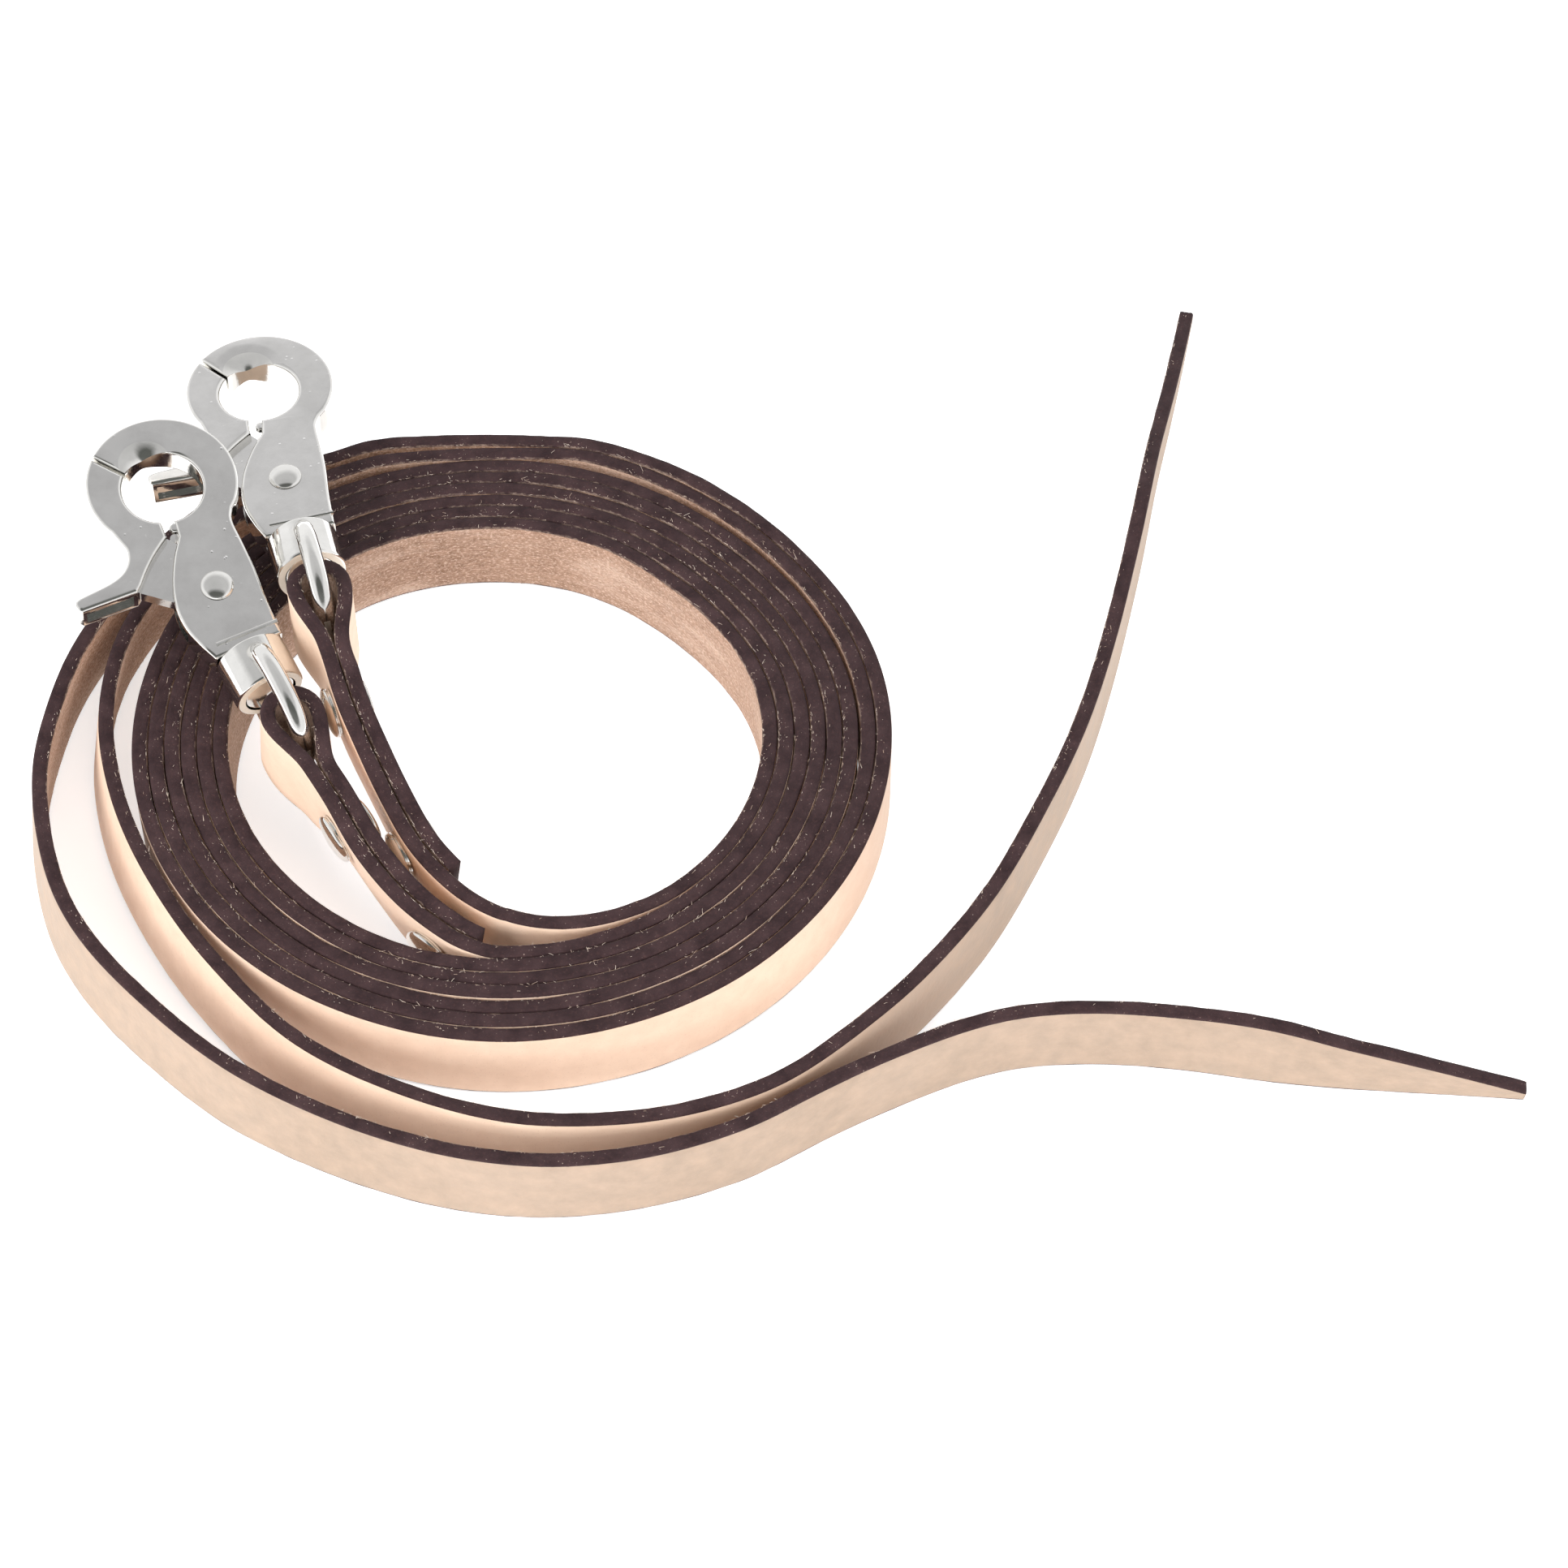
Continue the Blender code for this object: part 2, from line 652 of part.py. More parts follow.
def lever_spring(side, place):
    """Torsion spring round the pivot, in the hub's pocket, with one leg against the body."""
    level = -0.75
    coil = [
        (SPRING_RADIUS * math.cos(a), SPRING_RADIUS * math.sin(a), level)
        for a in np.radians(np.arange(-40, 290, 20))
    ]
    made = wire(side["name"] + "_lever_spring", coil, SPRING_WIRE)
    at = place @ Matrix.Translation((PIVOT[0] * MM, PIVOT[1] * MM, 0))
    return as_part(made, side["name"] + "_lever_spring", SPRING_STEEL, at)


def swivel_eye(side, place):
    """Round eye standing across the plate, with the barrel that turns on the stem."""
    ring = []
    power = 2 / EYE_SQUARENESS
    for a in np.radians(np.arange(0, 360, 12)):
        along = EYE_RADIUS * math.copysign(abs(math.cos(a)) ** power, math.cos(a))
        height = EYE_RADIUS * math.copysign(abs(math.sin(a)) ** power, math.sin(a))
        ring.append((0, along, height))
    eye = wire(side["name"] + "_swivel_eye", ring, EYE_WIRE, closed=True, resolution=3)
    barrel = turned(
        "barrel",
        [
            (0, BARREL_START),
            (BARREL_RADIUS - 0.5, BARREL_START),
            (BARREL_RADIUS, BARREL_START + 0.5),
            (BARREL_RADIUS, BARREL_END - 0.4),
            (BARREL_RADIUS - 0.4, BARREL_END),
            (0, BARREL_END),
        ],
        24,
    )
    combine(eye, along_y(barrel), "UNION")
    bore = [
        (0, BARREL_START - 1),
        (COUNTERBORE_RADIUS, BARREL_START - 1),
        (COUNTERBORE_RADIUS, COUNTERBORE_END),
        (BORE_RADIUS, COUNTERBORE_END),
        (BORE_RADIUS, BARREL_END + 1),
        (0, BARREL_END + 1),
    ]
    combine(eye, along_y(turned("barrel_bore", bore, 24)), "DIFFERENCE")
    return on_axis(eye, side["name"] + "_swivel_eye", place, (0, EYE_BAR, 0))


def swivel_washer(side, place):
    """Washer under the stem's headed end, inside the barrel."""
    name = side["name"] + "_swivel_washer"
    made = along_y(tube(name, STEM_RADIUS + WASHER_PLAY, STEM_HEAD_RADIUS, *WASHER, 20))
    return as_part(made, name, NICKEL, place)


def place_cutters(obj, place):
    """Bring a part's cutters into its frame."""
    for change in obj.modifiers:
        if change.type == "BOOLEAN" and change.object:
            change.object.matrix_world = place @ change.object.matrix_world


for side in SIDES:
    place = snap_frame(side)
    strap(side)
    place_cutters(hook_body(side, place), place)
    trigger_lever(side, place)
    pivot_rivet(side, place)
    lever_spring(side, place)
    swivel_eye(side, place)
    swivel_washer(side, place)

bpy.context.view_layer.update()
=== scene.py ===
"""Looks for a coiled pair of leather reins: fine straps, suede fibres, snaps and rivets.

Metres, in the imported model's frame. The tables below are in millimetres and are scaled by MM.
The coil is laid out about its own centre, which lies at COIL_CENTRE.
"""

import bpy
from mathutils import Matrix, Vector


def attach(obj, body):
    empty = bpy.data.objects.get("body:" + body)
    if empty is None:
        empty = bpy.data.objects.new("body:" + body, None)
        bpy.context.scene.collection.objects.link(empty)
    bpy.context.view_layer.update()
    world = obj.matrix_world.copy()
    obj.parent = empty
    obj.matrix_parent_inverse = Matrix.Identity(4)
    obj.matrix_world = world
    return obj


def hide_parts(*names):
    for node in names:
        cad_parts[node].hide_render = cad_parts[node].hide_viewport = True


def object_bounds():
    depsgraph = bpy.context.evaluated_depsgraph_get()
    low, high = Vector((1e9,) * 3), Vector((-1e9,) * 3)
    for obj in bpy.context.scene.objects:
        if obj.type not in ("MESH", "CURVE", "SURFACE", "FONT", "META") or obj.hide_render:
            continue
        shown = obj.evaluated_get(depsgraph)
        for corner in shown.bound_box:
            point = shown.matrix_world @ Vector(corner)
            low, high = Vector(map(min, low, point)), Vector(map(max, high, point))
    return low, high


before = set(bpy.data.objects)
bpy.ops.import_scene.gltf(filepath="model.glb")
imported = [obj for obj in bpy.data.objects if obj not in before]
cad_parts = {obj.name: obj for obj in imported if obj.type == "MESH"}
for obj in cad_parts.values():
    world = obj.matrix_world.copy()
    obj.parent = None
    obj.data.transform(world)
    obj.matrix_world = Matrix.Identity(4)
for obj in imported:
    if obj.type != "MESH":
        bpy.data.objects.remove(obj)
cad_box = [list(corner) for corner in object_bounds()]

import math

import bmesh
import bpy
import numpy as np
from mathutils import Matrix, Vector

MM = 0.001
SEED = 41

# Leather
STRAP_WIDTH = 16.0
STRAP_THICK = 2.72
PLY_PITCH = 2.9
FOLD_PITCH = 3.05
LOOP_CENTRE, LOOP_RADIUS = -5.5, 4.5
LOOP_RUN = 26.0
TIP_WIDTH = 0.12
ROUTE_STEP = 4.0
SECTION_STEP = 1.05  # from one cross-section of a strap to the next
FACE_STEPS = 8  # quads across a face
EDGE_STEPS = 4  # quads across the flat of an edge
CORNER = 0.42  # how far the edges are rounded over
CORNER_STEPS = 2
EDGE_CROWN = 0.05  # how far the flat of an edge swells
SHORT_START = 20.0  # where the folded-back end leaves the fold, from the middle of the eye
LEG_START = 19.0  # where the two legs of the fold run together
LEAD_STEP = 3.0
FOLDED_RUN = 150.0  # the short end, the fold and what lies beside them
SHADED_TAIL_RUN = (0.60, 0.26)  # how much of each rein, from its tip, has its grain painted darker: painted shade against the stronger light on the lying tail
SHADED_TAIL_BLEND = 0.10
SOFT_FOLD, SOFT_COIL = 5, 15  # how many points the strap's bends are averaged over
LIFT, LIFT_REACH = 0.3, 60  # the plies stand a little uneven

# Coil
COIL_CENTRE = (-45.5, -9.8)
COIL_RADII = (48.9, 47.8, 44.8, 41.0, 43.7, 47.6, 48.1, 48.4)
COIL_STEPS = 40
GAP_START, GAP_END, GAP_GROWTH = 3.1, 3.5, 2.2
COIL_END = 3.5

# Scissor snap, along its own length y from the middle of the eye
PLATE_HALF = 2.9
ROUND_OVER = 0.75
RING_CENTRE = (0.0, 50.5)
RING_RADIUS = 13.9
HOLE_CENTRE = (-0.3, 49.6)
HOLE_RADIUS = 7.4
JAW_ANGLE = 132.0
SCOOP_WIDE, SCOOP_DEEP = 7.2, 2.7  # the rounding of the arm
SCOOP_OFF, SCOOP_TOWARD = 6.0, 98.0  # how far, and at what angle, it lies off the hole's middle
SCOOP_CLEAR = 0.03
FOOT_RIDGE = (-5.2, 6.7, 15.3)  # from x to x, at y
RIDGE_RADIUS, RIDGE_SUNK = 0.45, 0.14
BORE_PLAY = 0.25
LEVER_ROUND_OVER = 0.85
BODY_BOTTOM = 12.8
BODY_FOOT = 6.5
PIVOT = (0.0, 26.4)
PIVOT_SHANK = 1.5
PIVOT_HEAD = 3.05
PIVOT_DOME = 1.0
TANG_HALF = 1.2
SLOT_HALF = 1.5
HUB_RADIUS = 6.0
CHANNEL_HALF = 1.6
SPRING_POCKET = 4.3
EYE_RADIUS = 10.3
EYE_WIRE = 1.9
EYE_SQUARENESS = 2.6
BARREL_RADIUS = 6.5
BARREL_START, BARREL_END = 3.6, 12.5
BORE_RADIUS = 3.1
COUNTERBORE_RADIUS = 5.1
COUNTERBORE_END = 7.4
STEM_RADIUS = 2.7
STEM_HEAD_RADIUS = 4.7
STEM_HEAD = (3.8, 5.5)

# The dark opening of the studio's tent: its direction, and the cosines where it starts and is full
DARK_WINDOW = (0.05, -0.66, 0.75)
DARK_WINDOW_EDGE = (0.74, 0.89)

# Strap rivets
CAP_RADIUS = 4.7
CAP_HEIGHT = 1.9
FLANGE_RADIUS, FLANGE_HEIGHT = 4.0, 0.9
SHANK_RADIUS = 1.6
RIVET_GAP = 0.35
PACKED_THICK = 2.6  # the strap's thickness that the rivets were fitted to

LEFT = {
    "name": "left_rein",
    "eye": (-41.4, -2.3, 21.2),
    "turn": 28.5,
    "tilt": 11.5,
    "coil_from": 0.0,
    "coil_shift": PLY_PITCH,
    "rivets": (27.6, 53.0),
    "short_end": 63.5,
    # (x, y, height of the lower edge, lean to the coil's middle), beyond the fold
    "lead": (
        (-29.8, -24.6, 9.3, -8),
        (-23.8, -33.4, 6.6, -12),
        (-16.6, -41.8, 3.6, -10),
        (-8.8, -48.3, 1.2, -5),
        (-3.8, -50.8, 0.3, -2),
    ),
    # (x, y, lean, width), the loose turn and the tail
    "tail": (
        (-24.5, 67.5, 2, 1),
        (-38.0, 63.2, 4, 1),
        (-54.8, 55.0, 6, 1),
        (-68.6, 40.6, 7, 1),
        (-79.8, 19.4, 7, 1),
        (-84.0, 1.5, 7, 1),
        (-84.8, -14.2, 7, 1),
        (-80.4, -34.5, 7, 1),
        (-72.8, -49.2, 7, 1),
        (-60.2, -63.4, 7, 1),
        (-43.6, -77.6, 6, 1),
        (-21.2, -88.6, 4, 1),
        (0.0, -94.4, 2, 1),
        (20.0, -94.1, 0, 1),
        (40.2, -88.0, 0, 1),
        (54.2, -79.8, 0, 1),
        (68.0, -72.4, 0, 1),
        (85.0, -65.4, 0, 1),
        (101.0, -63.4, 0, 1),
        (117.0, -64.4, 0, 1),
        (131.0, -66.8, 0, 1),
        (144.0, -68.3, 0, 0.78),
        (157.0, -69.3, 0, 0.54),
        (169.0, -70.1, 0, 0.30),
        (178.0, -70.8, 0, TIP_WIDTH),
    ),
}
RIGHT = {
    "name": "right_rein",
    "eye": (-36.2, 22.6, 25.0),
    "turn": 15.7,
    "tilt": -1.3,
    "coil_from": 0.1,
    "coil_shift": 0.0,
    "rivets": (25.7, 54.0),
    "short_end": 64.0,
    "lead": (
        (-29.1, -4.8, 12.4, -4),
        (-25.0, -13.2, 9.6, -6),
        (-20.2, -22.4, 6.6, -7),
        (-15.2, -31.0, 3.8, -5),
        (-9.2, -37.8, 1.6, -2),
        (-3.2, -42.2, 0.4, 0),
        (3.2, -44.7, 0.0, 0),
        (10.4, -45.6, 0.0, 0),
        (18.8, -44.2, 0.0, 0),
    ),
    "tail": (
        (-23.6, 63.3, 2, 1),
        (-36.0, 59.4, 4, 1),
        (-51.6, 51.2, 7, 1),
        (-64.8, 37.2, 9, 1),
        (-73.2, 19.0, 10, 1),
        (-74.6, -1.2, 10, 1),
        (-69.6, -21.6, 10, 1),
        (-60.8, -39.4, 10, 1),
        (-50.6, -54.2, 10, 1),
        (-35.8, -70.0, 9, 1),
        (-17.2, -80.6, 7, 1),
        (4.4, -86.6, 4, 1),
        (27.4, -85.6, 2, 1),
        (47.2, -78.6, 0, 1),
        (63.4, -65.6, 0, 1),
        (74.6, -53.4, 0, 1),
        (85.2, -38.2, 0, 1),
        (94.2, -20.2, 0, 1),
        (102.2, -1.0, 0, 1),
        (108.2, 19.0, 0, 1),
        (113.2, 40.0, 0, 1),
        (116.2, 54.0, 0, 1),
        (119.2, 69.6, 0, 0.76),
        (122.8, 85.6, 0, 0.52),
        (126.2, 101.6, 0, 0.30),
        (129.0, 115.6, 0, TIP_WIDTH),
    ),
}


# ---- camera, light and floor ---------------------------------------------------


def add_camera():
    data = bpy.data.cameras.new("camera")
    data.sensor_width = 36
    data.lens = 100.62
    camera = bpy.data.objects.new("camera", data)
    bpy.context.scene.collection.objects.link(camera)
    elevation, distance = math.radians(52), 0.8
    aim = Vector((0.00332, -0.01242, 0.0))
    camera.location = aim + distance * Vector((0, -math.cos(elevation), math.sin(elevation)))
    camera.rotation_euler = (math.pi / 2 - elevation, 0, 0)
    bpy.context.scene.camera = camera


def add_area(name, place, aim, size, power):
    data = bpy.data.lights.new(name, "AREA")
    data.shape = "RECTANGLE"
    data.size, data.size_y = size
    data.energy = power
    light = bpy.data.objects.new(name, data)
    bpy.context.scene.collection.objects.link(light)
    light.location = place
    light.rotation_euler = (Vector(aim) - Vector(place)).to_track_quat("-Z", "Y").to_euler()
    light.visible_glossy = False
    return light


def add_studio():
    """A white tent, greyer overhead and open toward a dark room in front, with three soft boxes."""
    world = bpy.data.worlds.new("studio")
    bpy.context.scene.world = world
    world.use_nodes = True
    tree = world.node_tree
    place = tree.nodes.new("ShaderNodeTexCoord")
    split = tree.nodes.new("ShaderNodeSeparateXYZ")
    tree.links.new(place.outputs["Generated"], split.inputs[0])
    ramp = tree.nodes.new("ShaderNodeValToRGB")
    stops = ((0.0, 1.0), (0.55, 1.0), (0.68, 0.80), (0.78, 0.62), (0.90, 0.62), (1.0, 0.56))
    ramp.color_ramp.elements[0].position = stops[0][0]
    ramp.color_ramp.elements[1].position = stops[-1][0]
    for at, _ in stops[1:-1]:
        ramp.color_ramp.elements.new(at)
    for element, (_, grey) in zip(ramp.color_ramp.elements, stops, strict=True):
        element.color = (grey, grey, grey * 1.01, 1)
    tree.links.new(split.outputs[2], ramp.inputs[0])
    background = tree.nodes["Background"]
    background.inputs["Strength"].default_value = 1.0
    facing = tree.nodes.new("ShaderNodeVectorMath")
    facing.operation = "DOT_PRODUCT"
    facing.inputs[1].default_value = DARK_WINDOW
    tree.links.new(place.outputs["Generated"], facing.inputs[0])
    window = spread(tree, facing.outputs["Value"], *DARK_WINDOW_EDGE, 0.0, 0.86)
    tree.links.new(mixed(tree, window, ramp.outputs[0], (0.05, 0.055, 0.045)), background.inputs["Color"])
    add_area("left_soft_box", (-0.85, -0.25, 0.60), (0, 0, 0), (0.6, 0.6), 8.0)
    add_area("right_soft_box", (0.75, -0.45, 0.70), (0, 0, 0), (0.6, 0.6), 5.0)
    add_area("front_soft_box", (0.0, -1.0, 0.45), (0, 0, 0), (0.9, 0.4), 5.5)


def add_floor():
    made = bpy.data.materials.new("floor_white")
    made.use_nodes = True
    shader = made.node_tree.nodes["Principled BSDF"]
    shader.inputs["Base Color"].default_value = (0.94, 0.94, 0.945, 1)
    shader.inputs["Roughness"].default_value = 0.9
    shader.inputs["Specular IOR Level"].default_value = 0.1
    shader.inputs["Emission Color"].default_value = (1, 1, 1, 1)
    shader.inputs["Emission Strength"].default_value = 0.6
    work = bmesh.new()
    bmesh.ops.create_grid(work, x_segments=1, y_segments=1, size=3.0)
    mesh = bpy.data.meshes.new("floor")
    work.to_mesh(mesh)
    work.free()
    floor = bpy.data.objects.new("floor", mesh)
    bpy.context.scene.collection.objects.link(floor)
    floor.location = (0, 0, cad_box[0][2] - 0.0001)
    mesh.materials.append(made)


# ---- materials -----------------------------------------------------------------


def new_material(name):
    made = bpy.data.materials.new(name)
    made.use_nodes = True
    return made, made.node_tree, made.node_tree.nodes["Principled BSDF"]


def node(tree, kind, inputs=None, **settings):
    """A node with its settings, and its inputs set or linked."""
    made = tree.nodes.new("ShaderNode" + kind)
    for key, value in settings.items():
        setattr(made, key, value)
    for key, value in (inputs or {}).items():
        if isinstance(value, bpy.types.NodeSocket):
            tree.links.new(value, made.inputs[key])
        else:
            made.inputs[key].default_value = value
    return made


def mixed(tree, factor, a, b):
    """Colour a, going over to b by factor."""
    made = tree.nodes.new("ShaderNodeMix")
    made.data_type = "RGBA"
    sockets = {s.identifier: s for s in made.inputs}
    for key, value in (("Factor_Float", factor), ("A_Color", a), ("B_Color", b)):
        if isinstance(value, bpy.types.NodeSocket):
            tree.links.new(value, sockets[key])
        elif key == "Factor_Float":
            sockets[key].default_value = value
        else:
            sockets[key].default_value = (*value, 1)
    return next(s for s in made.outputs if s.identifier == "Result_Color")


def spread(tree, value, low, high, to_low=0.0, to_high=1.0):
    """The value's stretch from low to high, as to_low to to_high, clamped."""
    inputs = {"Value": value, "From Min": low, "From Max": high, "To Min": to_low, "To Max": to_high}
    return node(tree, "MapRange", inputs).outputs[0]


def noise(tree, where, scale, detail=3.0, rough=0.55):
    inputs = {"Vector": where, "Scale": scale, "Detail": detail, "Roughness": rough}
    return node(tree, "TexNoise", inputs).outputs["Fac"]


def stretched(tree, where, scale):
    return node(tree, "Mapping", {"Vector": where, "Scale": scale}).outputs[0]


def bumped(tree, height, strength, distance, below=None):
    inputs = {"Height": height, "Strength": strength, "Distance": distance}
    if below is not None:
        inputs["Normal"] = below
    return node(tree, "Bump", inputs).outputs[0]


def combined(tree, a, b, operation="MULTIPLY"):
    made = tree.nodes.new("ShaderNodeMath")
    made.operation = operation
    for socket, value in zip(made.inputs, (a, b), strict=False):
        if isinstance(value, bpy.types.NodeSocket):
            tree.links.new(value, socket)
        else:
            socket.default_value = value
    return made.outputs[0]


def grain_leather():
    """Undyed vegetable-tanned grain, pinkish and finely pebbled; the pink is set lighter as painted light for
    the coil's shaded walls, and toward the tail a darker copy of it is painted shade against the stronger
    light the lying tail catches.
    """
    made, tree, shader = new_material("grain_leather")
    strap_uv = node(tree, "UVMap", uv_map="strap").outputs[0]
    along = node(tree, "Attribute", attribute_name="tail_share").outputs["Fac"]
    rim = node(tree, "Attribute", attribute_name="from_edge").outputs["Fac"]
    clouds = noise(tree, strap_uv, 28, 4, 0.6)
    mottle = noise(tree, strap_uv, 260, 4, 0.6)
    # painted light: the pink is set lighter to offset the shade on the coil's walls
    pink = mixed(tree, spread(tree, clouds, 0.35, 0.68), (0.88, 0.655, 0.50), (0.94, 0.735, 0.575))
    # painted shade: a darker copy of the pink for the tail, to offset the stronger light on it
    pale = mixed(tree, spread(tree, clouds, 0.35, 0.68), (0.318, 0.238, 0.176), (0.362, 0.274, 0.208))
    base = mixed(tree, along, pink, pale)
    spots = mixed(tree, spread(tree, mottle, 0.3, 0.75, 0.0, 0.30), base, (0.66, 0.47, 0.35))
    pores = node(tree, "TexVoronoi", {"Vector": strap_uv, "Scale": 1500.0}, feature="F1").outputs[0]
    dotted = mixed(tree, spread(tree, pores, 0.22, 0.0, 0.0, 0.35), spots, (0.52, 0.33, 0.23))
    # the edge dye creeps over the corner in an uneven line
    creep = combined(tree, noise(tree, strap_uv, 900, 3), 0.00050)
    dyed = spread(tree, combined(tree, rim, creep, "SUBTRACT"), 0.00002, -0.00010)
    shader_in = shader.inputs
    tree.links.new(mixed(tree, dyed, dotted, (0.050, 0.030, 0.030)), shader_in["Base Color"])
    tree.links.new(spread(tree, mottle, 0.3, 0.7, 0.46, 0.60), shader_in["Roughness"])
    shader_in["Specular IOR Level"].default_value = 0.28
    pebbles = node(tree, "TexVoronoi", {"Vector": strap_uv, "Scale": 1150.0}, feature="SMOOTH_F1")
    low = bumped(tree, noise(tree, strap_uv, 420, 5, 0.62), 0.35, 0.00030)
    wrinkles = bumped(tree, noise(tree, stretched(tree, strap_uv, (60, 240, 1)), 1.0, 5), 0.25, 0.0002, low)
    tree.links.new(bumped(tree, pebbles.outputs[0], 0.22, 0.00016, wrinkles), shader_in["Normal"])
    return made


def flesh_leather():
    """The suede back: brown, napped along the strap, with lifted pale fibres."""
    made, tree, shader = new_material("flesh_leather")
    strap_uv = node(tree, "UVMap", uv_map="strap").outputs[0]
    rim = node(tree, "Attribute", attribute_name="from_edge").outputs["Fac"]
    nap = noise(tree, stretched(tree, strap_uv, (420, 900, 1)), 1.0, 6, 0.7)
    tufts = noise(tree, stretched(tree, strap_uv, (1500, 2600, 1)), 1.0, 4, 0.7)
    clouds = noise(tree, strap_uv, 60, 3)
    brown = mixed(tree, spread(tree, clouds, 0.35, 0.65), (0.22, 0.123, 0.078), (0.32, 0.195, 0.132))
    worn = noise(tree, stretched(tree, strap_uv, (26, 95, 1)), 1.0, 6, 0.7)
    base = mixed(tree, spread(tree, worn, 0.50, 0.66, 0.0, 0.75), brown, (0.64, 0.48, 0.39))
    napped = mixed(tree, spread(tree, nap, 0.38, 0.66, 0.0, 0.85), base, (0.47, 0.30, 0.215))
    dusted = mixed(tree, spread(tree, tufts, 0.50, 0.66, 0.0, 0.85), napped, (0.72, 0.54, 0.44))
    dark = mixed(tree, spread(tree, tufts, 0.47, 0.33, 0.0, 0.7), dusted, (0.25, 0.14, 0.09))
    creep = combined(tree, noise(tree, strap_uv, 1100, 4, 0.7), 0.00075)
    dyed = spread(tree, combined(tree, rim, creep, "SUBTRACT"), 0.0, -0.00016, 0.0, 0.85)
    shader_in = shader.inputs
    tree.links.new(mixed(tree, dyed, dark, (0.075, 0.045, 0.040)), shader_in["Base Color"])
    tree.links.new(spread(tree, nap, 0.3, 0.7, 0.86, 0.98), shader_in["Roughness"])
    shader_in["Specular IOR Level"].default_value = 0.12
    shader_in["Sheen Weight"].default_value = 0.35
    shader_in["Sheen Roughness"].default_value = 0.5
    shader_in["Sheen Tint"].default_value = (0.9, 0.72, 0.6, 1)
    low = bumped(tree, nap, 0.8, 0.0005)
    tree.links.new(bumped(tree, tufts, 0.7, 0.0002, low), shader_in["Normal"])
    return made


def edge_leather():
    """The edges, dyed a purplish brown, with loose pale fibre where they meet the suede."""
    made, tree, shader = new_material("edge_leather")
    strap_uv = node(tree, "UVMap", uv_map="strap").outputs[0]
    flesh = node(tree, "Attribute", attribute_name="flesh_side").outputs["Fac"]
    grit = noise(tree, strap_uv, 1500, 5, 0.7)
    clouds = noise(tree, strap_uv, 190, 4, 0.6)
    base = mixed(tree, spread(tree, clouds, 0.35, 0.7), (0.030, 0.0165, 0.0180), (0.062, 0.035, 0.0365))
    flecked = mixed(tree, spread(tree, grit, 0.52, 0.74, 0.0, 0.5), base, (0.11, 0.058, 0.054))
    specks = noise(tree, strap_uv, 2300, 2, 0.5)
    lint = combined(tree, spread(tree, specks, 0.66, 0.74), spread(tree, clouds, 0.48, 0.66))
    dusty = mixed(tree, combined(tree, lint, 0.8), flecked, (0.62, 0.47, 0.40))
    ragged = noise(tree, stretched(tree, strap_uv, (900, 1700, 1)), 1.0, 5, 0.7)
    hem = spread(tree, combined(tree, flesh, combined(tree, ragged, 0.42), "ADD"), 1.13, 1.24)
    patches = spread(tree, noise(tree, strap_uv, 120, 7, 0.75), 0.42, 0.60)
    shown = combined(tree, hem, patches)
    shader_in = shader.inputs
    hemmed = mixed(tree, combined(tree, shown, 0.85), dusty, (0.46, 0.34, 0.27))
    tree.links.new(hemmed, shader_in["Base Color"])
    tree.links.new(spread(tree, grit, 0.3, 0.7, 0.62, 0.88), shader_in["Roughness"])
    shader_in["Specular IOR Level"].default_value = 0.20
    low = bumped(tree, clouds, 0.5, 0.0003)
    tree.links.new(bumped(tree, grit, 0.8, 0.00016, low), shader_in["Normal"])
    return made


def fibre_leather():
    """Loose collagen fibres, pale with a brown root here and there."""
    made, tree, shader = new_material("leather_fibre")
    place = node(tree, "TexCoord").outputs["Object"]
    mix = noise(tree, place, 700, 2)
    colour = mixed(tree, spread(tree, mix, 0.4, 0.6), (0.50, 0.36, 0.28), (0.80, 0.68, 0.58))
    tree.links.new(colour, shader.inputs["Base Color"])
    tree.links.new(spread(tree, mix, 0.3, 0.7, 0.7, 0.9), shader.inputs["Roughness"])
    return made


def bright_nickel(name="bright_nickel", tint=(0.86, 0.85, 0.82)):
    """Polished nickel plate with faint casting waves and smudges."""
    made, tree, shader = new_material(name)
    place = node(tree, "TexCoord").outputs["Object"]
    smudge = noise(tree, place, 160, 4, 0.6)
    dark = tuple(0.86 * c for c in tint)
    tree.links.new(mixed(tree, spread(tree, smudge, 0.35, 0.7), tint, dark), shader.inputs["Base Color"])
    tree.links.new(spread(tree, smudge, 0.3, 0.7, 0.04, 0.13), shader.inputs["Roughness"])
    shader.inputs["Metallic"].default_value = 1.0
    waves = bumped(tree, noise(tree, place, 110, 2), 0.18, 0.0005)
    tree.links.new(bumped(tree, noise(tree, place, 1600, 3), 0.10, 0.00008, waves), shader.inputs["Normal"])
    return made


def satin_nickel():
    """The flat faces: plated over a fine grained casting, with tiny raised specks whose near-white colour is
    a painted glint.
    """
    made, tree, shader = new_material("satin_nickel")
    place = node(tree, "TexCoord").outputs["Object"]
    cloud = noise(tree, place, 130, 4, 0.6)
    base = mixed(tree, spread(tree, cloud, 0.35, 0.68), (0.76, 0.75, 0.735), (0.66, 0.65, 0.635))
    glint_cells = node(tree, "TexVoronoi", {"Vector": place, "Scale": 620.0}, feature="F1")
    near = spread(tree, glint_cells.outputs["Distance"], 0.17, 0.05)
    some = spread(tree, noise(tree, place, 330, 2), 0.52, 0.60)
    glint_speck = combined(tree, near, some)
    # painted glint: the specks' colour is raised near white
    painted_glint_colour = mixed(tree, combined(tree, glint_speck, 0.8), base, (0.97, 0.96, 0.95))
    tree.links.new(painted_glint_colour, shader.inputs["Base Color"])
    grain = noise(tree, place, 2400, 3, 0.6)
    tree.links.new(spread(tree, grain, 0.3, 0.7, 0.11, 0.19), shader.inputs["Roughness"])
    shader.inputs["Metallic"].default_value = 1.0
    low = bumped(tree, grain, 0.07, 0.00006)
    waves = bumped(tree, cloud, 0.06, 0.0004, low)
    tree.links.new(bumped(tree, glint_speck, 0.7, 0.00012, waves), shader.inputs["Normal"])
    return made


